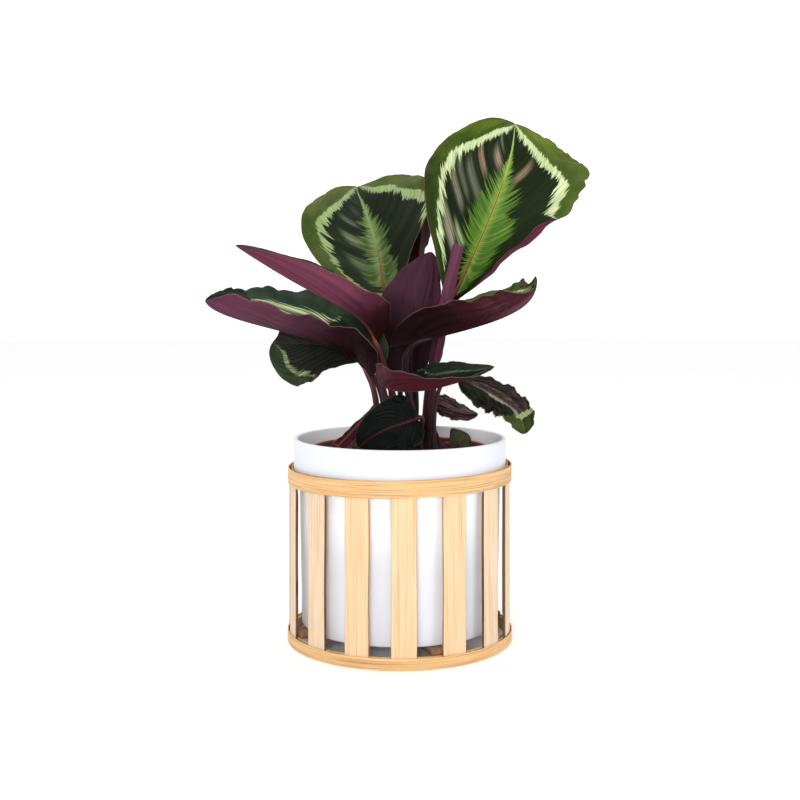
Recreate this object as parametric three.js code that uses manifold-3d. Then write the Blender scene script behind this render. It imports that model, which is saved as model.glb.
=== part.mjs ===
// Potted medallion calathea in a white planter on a bamboo stand.
// Millimetres, +Z up, origin on the floor in the middle of the whole part's box.
import * as THREE from 'three';
import { mergeVertices } from 'three/addons/utils/BufferGeometryUtils.js';
import Module from 'manifold-3d';

const wasm = await Module();
wasm.setup();

// Driving dimensions of the planter, the stand and the filling
const POT_RADIUS = 79.5;
const POT_TOP = 153;
const POT_FOOT = 13;
const POT_WALL = 3;
const POT_FLOOR = 4;
const COLLAR_BOTTOM = 121;
const BODY_RADIUS = 75.5;
const BODY_FOOT_RADIUS = 74;

const LINER_RIM_RADIUS = 66.5;
const LINER_FOOT_RADIUS = 51;
const LINER_TOP = 145.5;
const LINER_WALL = 1.2;
const LINER_LIP = 6;
const LINER_FLOOR = 1.5;

const SOIL_TOP = 138;
const SOIL_LUMP = 1.6;
const SOIL_BACK_RISE = 4.4;

const HOOP_TOP_RADIUS = 84;
const HOOP_BOTTOM_RADIUS = 85.2;
const HOOP_TOP_LOW = 120.5;
const HOOP_TOP_HEIGHT = 12;
const HOOP_TOP_SLOPE = 0.015;
const HOOP_BOTTOM_HEIGHT = 8.5;
const BAND = 1;
const TOP_BACK = 0.7;
const BOTTOM_BACK = 1.8;
const SLAT_COUNT = 15;
const SLAT_WIDTH = 18.2;
const SLAT_THICKNESS = 1.5;
const SLAT_START = 2;
const SLAT_SHIFTS = [0, 1.6, 2, 0, -1, 0.5, 1, -1.5, 0, 1, -0.5, 0, -1.7, 0.5, 0.8];
const STRIP_WIDTH = 18;
const STRIP_THICKNESS = 4;
const STRIP_ANGLE = 22;

// The upright axis of the planter and stand is this far left of the box's middle
const AXIS_LEFT = 3.5;

const GAP = 0.2;
const BLADE = 0.9;
const STEM_SIDES = 6;
const STEM_ARCH = 0.35;
const HOLE_DEPTH = 12;
const HOLE_PLAY = 0.35;
const ROUND = 48;
const BAND_SIDES = 70;

// Colours and finish of each material
const FINISH = {
  glaze: { color: 0xf4f5f9, roughness: 0.35 },
  liner: { color: 0xb8542f, roughness: 0.7 },
  soil: { color: 0x4a3222, roughness: 1.0 },
  bamboo: { color: 0xf0d2a2, roughness: 0.55 },
  hoop: { color: 0xe0b678, roughness: 0.5 },
  leafGreen: { color: 0x2f4a2c, roughness: 0.4 },
  leafMaroon: { color: 0x5a2438, roughness: 0.45 },
  leafBrown: { color: 0x5c4438, roughness: 0.7 },
};

// The leaves. Every leaf grows from its own foot in the soil.
// rib: control points of the midrib, base first. face: where the upper side looks, at base and tip.
// width, fold, curl: left half, then right half. fold and curl: degrees at base, middle and tip.
// lobe: how far the base runs back past the stem. wave: height, number and phase of the edge waves.
const LEAVES = [
  {
    name: 'leaf_tall_right',
    finish: 'leafGreen',
    foot: [20, 24],
    stem: 3,
    rib: [[43, 17, 262], [89, 53, 353], [88, 50, 374], [92, 76, 395]],
    face: [[-0.36, -0.86, -0.37], [0.35, -0.05, 0.88]],
    width: [61, 65],
    fold: [[51, 1, 6], [35, -1, 8]],
    curl: [[27, 1, 0], [51, 28, 5]],
    lobe: 13,
    shape: [0.8, 0.6],
    wave: [1.5, 3, 0.35],
    rows: 16,
    columns: 8,
    steps: 7,
  },
  {
    name: 'leaf_tall_left',
    finish: 'leafGreen',
    foot: [-6, 30],
    stem: 2.6,
    rib: [[-12, 35, 266], [-21, 35, 325], [-37, 70, 340], [-34, 84, 346]],
    face: [[-0.42, -0.63, 0.02], [-0.26, -0.79, 0.55]],
    width: [53, 55],
    fold: [[31, 25, 15], [36, -10, 13]],
    curl: [[0, 0, 0], [0, 0, 0]],
    lobe: 0,
    shape: [0.8, 0.6],
    wave: [1.5, 3, 0.3],
    rows: 16,
    columns: 8,
    steps: 7,
  },
  {
    name: 'leaf_folded_left_high',
    finish: 'leafMaroon',
    foot: [1, -15],
    stem: 2.6,
    rib: [[-17, -26, 223], [-28, -42, 254], [-38, -68, 244], [-110, -84, 292]],
    face: [[0.17, 0.42, -0.16], [-0.08, 0.42, 0.9]],
    width: [25, 37],
    fold: [[64, -10, 71], [45, 58, 54]],
    curl: [[33, 20, 86], [28, 48, 48]],
    lobe: 3,
    shape: [0.75, 0.62],
    wave: [1.5, 5, 0.2],
    rows: 16,
    columns: 6,
    steps: 7,
  },
  {
    name: 'leaf_folded_left_low',
    finish: 'leafMaroon',
    foot: [-17, -12],
    stem: 2.4,
    rib: [[-25, -17, 204], [-41, -15, 232], [-130, -43, 237], [-136, -52, 255]],
    face: [[-0.06, -0.3, 0.78], [0.14, -0.07, 0.86]],
    width: [41, 45],
    fold: [[53, 24, 45], [49, 32, 35]],
    curl: [[33, 17, 42], [0, 0, 0]],
    lobe: 6,
    shape: [0.75, 0.62],
    wave: [2, 5, 0],
    rows: 16,
    columns: 6,
    steps: 7,
  },
  {
    name: 'leaf_low_left',
    finish: 'leafGreen',
    foot: [-10, -2],
    stem: 2,
    rib: [[-29, -8, 210], [-53, 1, 229], [-89, -5, 220], [-94, 2, 225]],
    face: [[0.14, -0.56, 0.73], [-0.11, -0.91, 0.01]],
    width: [37, 38],
    fold: [[20, 10, -4], [10, 11, 0]],
    curl: [[0, 0, 0], [0, 0, 0]],
    lobe: 0,
    shape: [0.8, 0.6],
    wave: [1.5, 4, 0.4],
    rows: 12,
    columns: 6,
    steps: 7,
  },
  {
    name: 'leaf_upright_middle',
    finish: 'leafMaroon',
    foot: [9, 9],
    stem: 3.2,
    rib: [[11, 11, 188], [3, 0, 232], [24, 4, 263], [23, 3, 291]],
    face: [[0.2, 0.93, 0.1], [0, 1, 0.1]],
    width: [16, 34],
    fold: [[7, 24, 20], [12, 6, 17]],
    curl: [[7, 5, 0], [10, 25, 22]],
    lobe: 0,
    shape: [0.82, 0.6],
    wave: [1, 4, 0.1],
    rows: 12,
    columns: 6,
    steps: 7,
  },
  {
    name: 'leaf_rolled_young',
    finish: 'leafMaroon',
    foot: [22, -3],
    stem: 5,
    rib: [[25, -11, 205], [29, -12, 228], [33, -14, 250], [43, -13, 295]],
    face: [[0, 1, 0], [0, 1, 0]],
    width: [13, 13],
    fold: [[0, 0, 0], [0, 0, 0]],
    curl: [[160, 165, 165], [160, 165, 165]],
    lobe: 0,
    shape: [0.8, 0.15],
    wave: [0.6, 3, 0.2],
    rows: 12,
    columns: 6,
    steps: 7,
  },
  {
    name: 'leaf_raised_right',
    finish: 'leafMaroon',
    foot: [15, -16],
    stem: 2.6,
    rib: [[17, -24, 226], [72, -36, 241], [99, -58, 249], [93, -69, 272]],
    face: [[0.3, 0.24, 0.92], [-0.12, -0.37, 0.32]],
    width: [27, 34],
    fold: [[94, 49, 44], [48, 22, 75]],
    curl: [[17, 13, 16], [18, 7, 38]],
    lobe: 26,
    shape: [0.75, 0.62],
    wave: [1.5, 5, 0.3],
    rows: 16,
    columns: 6,
    steps: 7,
  },
  {
    name: 'leaf_low_front',
    finish: 'leafMaroon',
    foot: [-4, -20],
    stem: 2.6,
    rib: [[-15, -31, 200], [-11, -50, 183], [40, -65, 195], [66, -49, 209]],
    face: [[0.21, 0.02, 0.89], [-0.14, -0.26, 1.02]],
    width: [32, 27],
    fold: [[5, 25, 13], [44, 27, 11]],
    curl: [[0, 0, 0], [26, 13, 0]],
    lobe: 2,
    shape: [0.75, 0.62],
    wave: [1, 4, 0.1],
    rows: 12,
    columns: 6,
    steps: 7,
  },
  {
    name: 'leaf_dried_right',
    finish: 'leafBrown',
    foot: [25, -14],
    stem: 1.6,
    rib: [[43, -20, 198], [81, -22, 182], [89, -44, 173], [89, -42, 160]],
    face: [[0.31, -0.71, 0.55], [0.38, -0.73, 0.42]],
    width: [16, 19],
    fold: [[-1, -1, 5], [-10, 11, 2]],
    curl: [[0, 0, 0], [0, 0, 0]],
    lobe: 0,
    shape: [0.8, 0.6],
    wave: [1.6, 6, 0.2],
    rows: 12,
    columns: 6,
    steps: 7,
  },
  {
    name: 'leaf_small_brown',
    finish: 'leafBrown',
    foot: [31, 6],
    stem: 1.3,
    rib: [[26, 14, 177], [33, 14, 177], [43, 14, 168], [60, 18, 168]],
    face: [[-0.06, -0.66, 0.74], [0.04, -0.61, 0.79]],
    width: [12, 12],
    fold: [[4, 3, -1], [-1, 8, -2]],
    curl: [[0, 0, 0], [0, 0, 0]],
    lobe: 2,
    shape: [0.8, 0.6],
    wave: [0.8, 4, 0.1],
    rows: 12,
    columns: 6,
    steps: 7,
  },
  {
    name: 'leaf_base_dark',
    finish: 'leafGreen',
    foot: [10, -28],
    stem: 2,
    rib: [[12, -42, 171], [5, -42, 167], [-14, -41, 166], [-29, -40, 150]],
    face: [[-0.3, -0.9, 0.25], [-0.21, -1.02, -0.06]],
    width: [20, 21],
    fold: [[12, 4, -1], [6, 8, -1]],
    curl: [[0, 0, 0], [0, 0, 0]],
    lobe: 8,
    shape: [0.62, 0.45],
    wave: [1, 4, 0.3],
    rows: 12,
    columns: 6,
    steps: 7,
  },
  {
    name: 'leaf_base_left',
    finish: 'leafMaroon',
    foot: [-12, -26],
    stem: 1.5,
    rib: [[-20, -30, 177], [-42, -35, 150], [-53, -39, 145], [-44, -40, 150]],
    face: [[0.5, 0.8, -0.3], [0.4, 0.9, -0.1]],
    width: [5, 6],
    fold: [[25, 14, 20], [19, 20, 20]],
    curl: [[0, 0, 0], [0, 0, 0]],
    lobe: 0,
    shape: [0.8, 0.6],
    wave: [0.5, 3, 0.2],
    rows: 12,
    columns: 6,
    steps: 7,
  },
  {
    name: 'leaf_base_olive',
    finish: 'leafGreen',
    foot: [41, 20],
    stem: 1.1,
    rib: [[45, 20, 143], [44, 20, 148], [41, 20, 153], [40, 21, 157]],
    face: [[0, -1, 0.3], [0, -1, 0.3]],
    width: [6, 11],
    fold: [[10, 10, 10], [10, 10, 10]],
    curl: [[0, 0, 0], [0, 0, 0]],
    lobe: 3,
    shape: [0.5, 0.8],
    wave: [1.2, 3, 0.2],
    rows: 10,
    columns: 4,
    steps: 2,
  },
  {
    name: 'leaf_upright_back',
    finish: 'leafMaroon',
    foot: [9, 30],
    stem: 2.4,
    rib: [[12, 43, 255], [15, 48, 293], [16, 55, 307], [22, 64, 337]],
    face: [[-0.54, 0.68, 0.13], [-0.19, 0.85, 0.04]],
    width: [22, 19],
    fold: [[17, 37, 13], [11, 9, 15]],
    curl: [[11, 24, 9], [7, 6, 10]],
    lobe: 0,
    shape: [0.8, 0.6],
    wave: [1, 4, 0.2],
    rows: 12,
    columns: 6,
    steps: 7,
  },
  {
    name: 'leaf_spear',
    finish: 'leafMaroon',
    foot: [-1, 18],
    stem: 2,
    rib: [[3, 19, 250], [3, 19, 262], [3, 19, 275], [3, 19, 287]],
    face: [[0, 1, 0], [0, 1, 0]],
    width: [5, 5],
    fold: [[0, 0, 0], [0, 0, 0]],
    curl: [[150, 150, 150], [150, 150, 150]],
    lobe: 0,
    shape: [0.8, 0.25],
    wave: [0, 1, 0],
    rows: 6,
    columns: 4,
    steps: 3,
  },
];

// Geometry helpers

function radians(degrees) {
  return degrees * Math.PI / 180;
}

// A closed body through rings of equally many points, with fan caps.
// turnAt: from this place in the ring the other diagonal splits each quad.
function loft(rings, turnAt) {
  const count = rings[0].length;
  const points = rings.flat();
  const index = [];
  for (let i = 0; i + 1 < rings.length; i++) {
    for (let k = 0; k < count; k++) {
      const next = (k + 1) % count;
      const a = i * count + k;
      const b = i * count + next;
      const c = (i + 1) * count + next;
      const d = (i + 1) * count + k;
      if (k < turnAt) {
        index.push(a, b, c, a, c, d);
      } else {
        index.push(a, b, d, b, c, d);
      }
    }
  }
  capLoft(index, count, rings.length);
  const geometry = new THREE.BufferGeometry().setFromPoints(points);
  geometry.setIndex(index);
  return geometry;
}

// Caps run from edge to edge, as strips between both faces of a flat ring
function capLoft(index, count, ringCount) {
  const half = count / 2;
  const last = (ringCount - 1) * count;
  for (let k = 0; k + 1 < half; k++) {
    const a = k;
    const b = k + 1;
    const c = count - 2 - k;
    const d = count - 1 - k;
    index.push(a, c, b, a, d, c);
    index.push(last + a, last + b, last + c, last + a, last + c, last + d);
  }
}

function solidOf(geometry) {
  const bare = geometry.clone();
  bare.deleteAttribute('normal');
  bare.deleteAttribute('uv');
  const merged = mergeVertices(bare, 1e-4);
  const vertProperties = new Float32Array(merged.attributes.position.array);
  const triVerts = new Uint32Array(merged.index.array);
  return new wasm.Manifold(new wasm.Mesh({ numProp: 3, vertProperties, triVerts }));
}

function geometryOf(solid) {
  const mesh = solid.getMesh();
  const geometry = new THREE.BufferGeometry();
  const attribute = new THREE.BufferAttribute(new Float32Array(mesh.vertProperties), 3);
  geometry.setAttribute('position', attribute);
  geometry.setIndex(new THREE.BufferAttribute(new Uint32Array(mesh.triVerts), 1));
  geometry.computeVertexNormals();
  return geometry;
}

function lathe(profile, sides = ROUND) {
  const points = profile.map(([radius, z]) => new THREE.Vector2(radius, z));
  const geometry = new THREE.LatheGeometry(points, sides);
  geometry.rotateX(Math.PI / 2);
  return geometry;
}

const group = new THREE.Group();
group.position.x = -AXIS_LEFT;

function addPiece(name, geometry, finish) {
  const material = new THREE.MeshStandardMaterial({ ...FINISH[finish], metalness: 0 });
  const mesh = new THREE.Mesh(geometry, material);
  mesh.name = name;
  group.add(mesh);
  return mesh;
}

// Planter and liner

function planterProfile() {
  const inner = POT_RADIUS - POT_WALL;
  const innerFoot = BODY_FOOT_RADIUS - POT_WALL;
  const innerBody = BODY_RADIUS - POT_WALL;
  return [
    [0, POT_FOOT],
    [BODY_FOOT_RADIUS - 2, POT_FOOT],
    [BODY_FOOT_RADIUS - 0.5, POT_FOOT + 0.6],
    [BODY_FOOT_RADIUS, POT_FOOT + 2.5],
    [BODY_RADIUS, COLLAR_BOTTOM - 3],
    [POT_RADIUS - 0.6, COLLAR_BOTTOM],
    [POT_RADIUS, COLLAR_BOTTOM + 1],
    [POT_RADIUS, POT_TOP - 1.2],
    [POT_RADIUS - 1, POT_TOP],
    [inner + 0.8, POT_TOP],
    [inner, POT_TOP - 1],
    [inner, COLLAR_BOTTOM + 4],
    [innerBody, COLLAR_BOTTOM],
    [innerFoot, POT_FOOT + POT_FLOOR + 3],
    [innerFoot - 3, POT_FOOT + POT_FLOOR],
    [0, POT_FOOT + POT_FLOOR],
  ];
}

function linerRadiusAt(z) {
  const foot = POT_FOOT + POT_FLOOR + GAP;
  const share = (z - foot) / (LINER_TOP - foot);
  return LINER_FOOT_RADIUS + (LINER_RIM_RADIUS - 2 - LINER_FOOT_RADIUS) * share;
}

function linerProfile() {
  const foot = POT_FOOT + POT_FLOOR + GAP;
  const lip = LINER_TOP - LINER_LIP;
  const floor = foot + LINER_FLOOR;
  return [
    [0, foot],
    [LINER_FOOT_RADIUS, foot],
    [linerRadiusAt(lip), lip],
    [LINER_RIM_RADIUS, lip],
    [LINER_RIM_RADIUS, LINER_TOP],
    [LINER_RIM_RADIUS - 1.4, LINER_TOP],
    [LINER_RIM_RADIUS - 1.6, lip + 1.4],
    [linerRadiusAt(lip) - LINER_WALL, lip],
    [LINER_FOOT_RADIUS - LINER_WALL, floor],
    [0, floor],
  ];
}

function makeLiner() {
  let solid = solidOf(lathe(linerProfile()));
  for (let i = 0; i < 4; i++) {
    const drain = new THREE.CylinderGeometry(4, 4, 6, 12);
    drain.rotateX(Math.PI / 2);
    drain.translate(30, 0, POT_FOOT + POT_FLOOR + 1);
    drain.rotateZ(radians(45 + 90 * i));
    solid = solid.subtract(solidOf(drain));
  }
  return geometryOf(solid);
}

// Lumpy surface of the soil, higher at the back
function soilHeight(x, y) {
  const coarse = Math.sin(x * 0.16 + 1.1) * Math.cos(y * 0.14 - 0.4);
  const fine = Math.sin(x * 0.37 - y * 0.29);
  const back = THREE.MathUtils.smoothstep(y, 22, 58);
  return SOIL_TOP + SOIL_LUMP * (0.65 * coarse + 0.35 * fine) + SOIL_BACK_RISE * back;
}

function makeSoil(stems) {
  const sides = 30;
  const steps = 5;
  const foot = POT_FOOT + POT_FLOOR + LINER_FLOOR + 2 * GAP;
  const play = LINER_WALL + GAP + 0.3;
  const top = LINER_TOP - LINER_LIP - 3;
  const edge = linerRadiusAt(top) - play;
  const profile = [[0, foot], [LINER_FOOT_RADIUS - play, foot], [edge, top]];
  for (let i = 0; i < steps; i++) {
    profile.push([edge * (1 - i / steps) * 0.985, SOIL_TOP]);
  }
  profile.push([0, SOIL_TOP]);
  const geometry = lathe(profile, sides);
  const place = geometry.attributes.position;
  for (let i = 0; i < place.count; i++) {
    if (place.getZ(i) > SOIL_TOP - 0.1) {
      place.setZ(i, soilHeight(place.getX(i), place.getY(i)));
    }
  }
  let solid = solidOf(geometry);
  for (const { foot: [x, y], stem } of stems) {
    const radius = (stem + HOLE_PLAY) / Math.cos(Math.PI / 8);
    const hole = new THREE.CylinderGeometry(radius, radius, 30, 8);
    hole.rotateX(Math.PI / 2);
    hole.translate(x, y, SOIL_TOP - HOLE_DEPTH - 0.5 + 15);
    solid = solid.subtract(solidOf(hole));
  }
  return geometryOf(solid);
}

// Bamboo stand

function bandProfile(outer, thickness, low, height) {
  const inner = outer - thickness;
  return [[inner, low], [outer, low], [outer, low + height], [inner, low + height], [inner, low]];
}

// The top hoop hangs a little askew: its height changes with x
function askew(x) {
  return HOOP_TOP_SLOPE * x;
}

function makeTopBand(outer, thickness) {
  const geometry = lathe(bandProfile(outer, thickness, HOOP_TOP_LOW, HOOP_TOP_HEIGHT), BAND_SIDES);
  const place = geometry.attributes.position;
  for (let i = 0; i < place.count; i++) {
    place.setZ(i, place.getZ(i) + askew(place.getX(i)));
  }
  return geometry;
}

function makeSlat(degrees) {
  const arcs = 4;
  const low = 0.6;
  const high = HOOP_TOP_LOW + HOOP_TOP_HEIGHT - 0.5;
  const ring = (z, outer, slope) => {
    const halfAngle = SLAT_WIDTH / 2 / outer;
    const middle = radians(degrees);
    const at = (radius, share) => {
      const turn = middle + halfAngle * share;
      const x = radius * Math.sin(turn);
      return new THREE.Vector3(x, -radius * Math.cos(turn), z + slope * askew(x));
    };
    const points = [];
    for (let k = 0; k <= arcs; k++) {
      points.push(at(outer, 2 * k / arcs - 1));
    }
    for (let k = arcs; k >= 0; k--) {
      points.push(at(outer - SLAT_THICKNESS, 2 * k / arcs - 1));
    }
    return points;
  };
  const outerLow = HOOP_BOTTOM_RADIUS - BAND - GAP;
  const outerHigh = HOOP_TOP_RADIUS - BAND - GAP;
  return loft([ring(low, outerLow, 0), ring(high, outerHigh, 1)], arcs + 1);
}

function makeStrip(length, lapUp) {
  const low = HOOP_BOTTOM_HEIGHT + GAP;
  const strip = new THREE.BoxGeometry(length, STRIP_WIDTH, STRIP_THICKNESS);
  strip.translate(0, 0, low + STRIP_THICKNESS / 2);
  const notchHeight = STRIP_THICKNESS / 2 + GAP / 2;
  const notch = new THREE.BoxGeometry(STRIP_WIDTH + 2 * GAP, STRIP_WIDTH + 2, notchHeight + 1);
  const notchLow = lapUp ? low - 1 : low + STRIP_THICKNESS - notchHeight;
  notch.translate(0, 0, notchLow + (notchHeight + 1) / 2);
  return geometryOf(solidOf(strip).subtract(solidOf(notch)));
}

function addStand() {
  const topInner = HOOP_TOP_RADIUS - BAND - SLAT_THICKNESS - 2 * GAP;
  const bottomInner = HOOP_BOTTOM_RADIUS - BAND - SLAT_THICKNESS - 2 * GAP;
  const bottomBand = bandProfile(HOOP_BOTTOM_RADIUS, BAND, 0, HOOP_BOTTOM_HEIGHT);
  const bottomBack = bandProfile(bottomInner, BOTTOM_BACK, 0, HOOP_BOTTOM_HEIGHT);
  addPiece('hoop_top_outer', makeTopBand(HOOP_TOP_RADIUS, BAND), 'hoop');
  addPiece('hoop_top_inner', makeTopBand(topInner, TOP_BACK), 'hoop');
  addPiece('hoop_bottom_outer', lathe(bottomBand, BAND_SIDES), 'hoop');
  addPiece('hoop_bottom_inner', lathe(bottomBack, BAND_SIDES), 'hoop');
  for (let i = 0; i < SLAT_COUNT; i++) {
    const name = `slat_${String(i + 1).padStart(2, '0')}`;
    addPiece(name, makeSlat(SLAT_START + SLAT_SHIFTS[i] + i * 360 / SLAT_COUNT), 'bamboo');
  }
  const length = 2 * (bottomInner - 0.9);
  for (const [name, turn, lapUp] of [['base_strip_low', 0, false], ['base_strip_high', 90, true]]) {
    const strip = addPiece(name, makeStrip(length, lapUp), 'bamboo');
    strip.rotation.z = radians(STRIP_ANGLE + turn);
  }
}

// Leaves

// Value at u of a curve through three values, at the base, the middle and the tip
function through(values, u) {
  const [base, middle, tip] = values;
  return base * (1 - u) * (1 - 2 * u) + 4 * middle * u * (1 - u) + tip * u * (2 * u - 1);
}

function ribOf(leaf) {
  return new THREE.CubicBezierCurve3(...leaf.rib.map((p) => new THREE.Vector3(...p)));
}

// Middle of the blade at u along the rib and s across, -1 at the left edge and 1 at the right,
// moved by lift along the normal
function bladePoint(leaf, u, s, lift) {
  const rib = ribOf(leaf);
  const along = rib.getTangent(u);
  const up = new THREE.Vector3(...leaf.face[0]).lerp(new THREE.Vector3(...leaf.face[1]), u);
  up.addScaledVector(along, -up.dot(along)).normalize();
  const across = new THREE.Vector3().crossVectors(along, up);
  const side = s < 0 ? 0 : 1;
  const sign = s < 0 ? -1 : 1;
  const a = Math.abs(s);
  const [start, power] = leaf.shape;
  const profile = Math.sin(Math.PI * u ** start) ** power;
  const width = leaf.width[side] * profile;
  const fold = radians(through(leaf.fold[side], u));
  const curl = radians(through(leaf.curl[side], u)) || 1e-4;
  const turn = fold + curl * a;
  const out = width / curl * (Math.sin(turn) - Math.sin(fold));
  const rise = width / curl * (Math.cos(fold) - Math.cos(turn));
  const normal = across.clone().multiplyScalar(-sign * Math.sin(turn));
  normal.addScaledVector(up, Math.cos(turn));
  const [height, waves, phase] = leaf.wave;
  const wave = height * a * a * profile * Math.sin(2 * Math.PI * (waves * u + phase + 0.31 * side));
  return rib.getPoint(u)
    .addScaledVector(across, sign * out)
    .addScaledVector(up, rise)
    .addScaledVector(along, -leaf.lobe * a * a * (1 - u) ** 3)
    .addScaledVector(normal, wave + lift);
}

function makeBlade(leaf) {
  const { rows, columns } = leaf;
  const rings = [];
  for (let i = 0; i <= rows; i++) {
    const u = 0.5 - 0.495 * Math.cos(Math.PI * i / rows);
    const ring = [];
    for (let k = 0; k <= columns; k++) {
      ring.push(bladePoint(leaf, u, 2 * k / columns - 1, BLADE / 2));
    }
    for (let k = columns; k >= 0; k--) {
      ring.push(bladePoint(leaf, u, 2 * k / columns - 1, -BLADE / 2));
    }
    rings.push(ring);
  }
  return loft(rings, columns + 1);
}

// Stem: straight in its hole, then one curve up to the blade and a little way along its rib
function makeStem(leaf) {
  const [x, y] = leaf.foot;
  const rib = ribOf(leaf);
  const low = new THREE.Vector3(x, y, SOIL_TOP - HOLE_DEPTH);
  const neck = new THREE.Vector3(x, y, SOIL_TOP + 3);
  const base = rib.getPoint(0);
  const reach = STEM_ARCH * neck.distanceTo(base);
  const curve = new THREE.CubicBezierCurve3(
    neck,
    neck.clone().add(new THREE.Vector3(0, 0, reach)),
    base.clone().addScaledVector(rib.getTangent(0), -reach),
    base,
  );
  const places = [[low, new THREE.Vector3(0, 0, 1), 1]];
  for (let i = 0; i <= leaf.steps; i++) {
    const t = i / leaf.steps;
    places.push([curve.getPoint(t), curve.getTangent(t), 1 - 0.25 * t]);
  }
  places.push([rib.getPoint(0.08), rib.getTangent(0.08), 0.5]);
  const rings = places.map(([point, along, share]) => {
    const first = new THREE.Vector3(1, 0.02, 0).cross(along).normalize();
    const second = along.clone().cross(first);
    const ring = [];
    for (let k = 0; k < STEM_SIDES; k++) {
      const angle = 2 * Math.PI * k / STEM_SIDES;
      ring.push(point.clone()
        .addScaledVector(first, leaf.stem * share * Math.cos(angle))
        .addScaledVector(second, leaf.stem * share * Math.sin(angle)));
    }
    return ring;
  });
  return loft(rings, STEM_SIDES);
}

function makeLeaf(leaf) {
  const blade = solidOf(makeBlade(leaf));
  const stem = solidOf(makeStem(leaf));
  return geometryOf(blade.add(stem));
}

// The whole part
addPiece('pot', lathe(planterProfile()), 'glaze');
addPiece('nursery_pot', makeLiner(), 'liner');
addPiece('soil', makeSoil(LEAVES), 'soil');
addStand();
for (const leaf of LEAVES) {
  addPiece(leaf.name, makeLeaf(leaf), leaf.finish);
}

export default group;
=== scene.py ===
"""Looks of the potted medallion calathea in its white planter and bamboo stand.

Lengths are worked out in millimetres, as in the part's source, and become metres in piece().
"""

import math

import bpy
import numpy as np
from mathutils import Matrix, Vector


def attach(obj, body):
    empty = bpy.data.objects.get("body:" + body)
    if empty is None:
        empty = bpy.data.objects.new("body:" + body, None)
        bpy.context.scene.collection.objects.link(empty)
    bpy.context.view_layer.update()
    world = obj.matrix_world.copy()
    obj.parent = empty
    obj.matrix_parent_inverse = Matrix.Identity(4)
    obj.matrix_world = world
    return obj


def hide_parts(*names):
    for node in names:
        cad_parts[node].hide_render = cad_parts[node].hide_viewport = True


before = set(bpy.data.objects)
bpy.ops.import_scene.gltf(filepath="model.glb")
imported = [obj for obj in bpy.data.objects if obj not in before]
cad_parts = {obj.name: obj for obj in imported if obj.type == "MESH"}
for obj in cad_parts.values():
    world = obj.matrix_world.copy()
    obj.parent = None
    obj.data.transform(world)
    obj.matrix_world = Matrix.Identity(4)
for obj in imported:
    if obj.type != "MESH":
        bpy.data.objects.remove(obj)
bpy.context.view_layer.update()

MM = 0.001

# Planter, liner and filling
POT_RADIUS = 79.5
POT_TOP = 153.0
POT_FOOT = 13.0
POT_WALL = 3.0
POT_FLOOR = 4.0
COLLAR_BOTTOM = 121.0
COLLAR_SLANT = 2.2
COLLAR_INSIDE_SLANT = 4.0
POT_SOFT = 1.3
BODY_RADIUS = 75.5
BODY_FOOT_RADIUS = 74.0
LINER_RIM_RADIUS = 66.5
LINER_FOOT_RADIUS = 51.0
LINER_TOP = 145.5
LINER_WALL = 1.2
LINER_LIP = 6.0
LINER_FLOOR = 1.5
LINER_SOFT = 0.6
SOIL_TOP = 138.0
SOIL_LUMP = 1.6
SOIL_BACK_RISE = 4.4
SOIL_RISE_START = 22.0
SOIL_RISE_LENGTH = 36.0

# Where looks change: where the inside of the planter is painted lighter than its outside, as painted light,
# and how far down the liner's dirt lies
PAINTED_LIGHT_RADII = (77.4, 76.2)
PAINTED_LIGHT_HEIGHTS = (60.0, 120.0)
DIRT_TOP = (144.9, 144.1)
DIRT_LOW = (134.0, 138.0)

# Turns and rings of the meshes of planter, liner and mix
POT_SIDES = 192
LINER_SIDES = 128
SOIL_SIDES = 200
SOIL_RINGS = 70

# Chips and fibres on the mix: the seed of the draws, their numbers and how far from the axis they lie
BITS_SEED = 11
CHIP_COUNT = 520
CHIP_REACH = 58.0
FIBRE_COUNT = 150
FIBRE_REACH = 57.0
FIBRE_END_REACH = 59.0
FIBRE_STEPS = 8
FIBRE_STEP = 1.3
BIT_LIFT = 0.3

# Bamboo stand
HOOP_TOP_RADIUS = 84.0
HOOP_BOTTOM_RADIUS = 85.2
HOOP_TOP_LOW = 120.5
HOOP_TOP_HEIGHT = 12.0
HOOP_TOP_SLOPE = 0.015
HOOP_BOTTOM_HEIGHT = 8.5
BAND = 1.0
TOP_BACK = 0.7
BOTTOM_BACK = 1.8
SLAT_COUNT = 15
SLAT_WIDTH = 18.2
SLAT_THICKNESS = 1.5
SLAT_MIDDLE_THICKNESS = 2.1
SLAT_START = 2.0
SLAT_SHIFTS = (0, 1.6, 2, 0, -1, 0.5, 1, -1.5, 0, 1, -0.5, 0, -1.7, 0.5, 0.8)
# The slats at the front; the others get copies of the bamboo with painted side light, and painted shade on
# their cut sides.
FRONT_SLATS = (14, 0, 1)
SLAT_SEED = 100
SLAT_LOW = 0.6
SLAT_SOFT = 0.3
SLAT_ROWS = 60
SLAT_ARCS = 12
HOOP_SIDES = 360
HOOP_SOFT = 0.28
HOOP_STICK = 31
STRIP_STICK = 41
STRIP_WIDTH = 18.0
STRIP_THICKNESS = 4.0
STRIP_ANGLE = 22.0
STRIP_SOFT = 0.35
STRIP_END = 0.4
GAP = 0.2

# The upright axis of planter and stand is this far left of the middle of the whole part's box
AXIS_LEFT = 3.5

# Leaves: thickness of a blade, arch of a stem, depth of its hole, radius of a rolled margin, steps of meshes
BLADE = 0.6
STEM_ARCH = 0.35
HOLE_DEPTH = 12.0
ROLL_RADIUS = 1.2
SEED_STEP = 3.7
STEM_SIDES = 24
STEM_STEPS = 44

# Camera: where it stands in millimetres, its pitch and its focal length for an image 800 pixels wide
CAMERA_PLACE = (-3.28, -868.0, 260.6)
CAMERA_PITCH = 0.092
CAMERA_FOCAL = 1162.3
IMAGE_SIZE = 800

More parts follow.
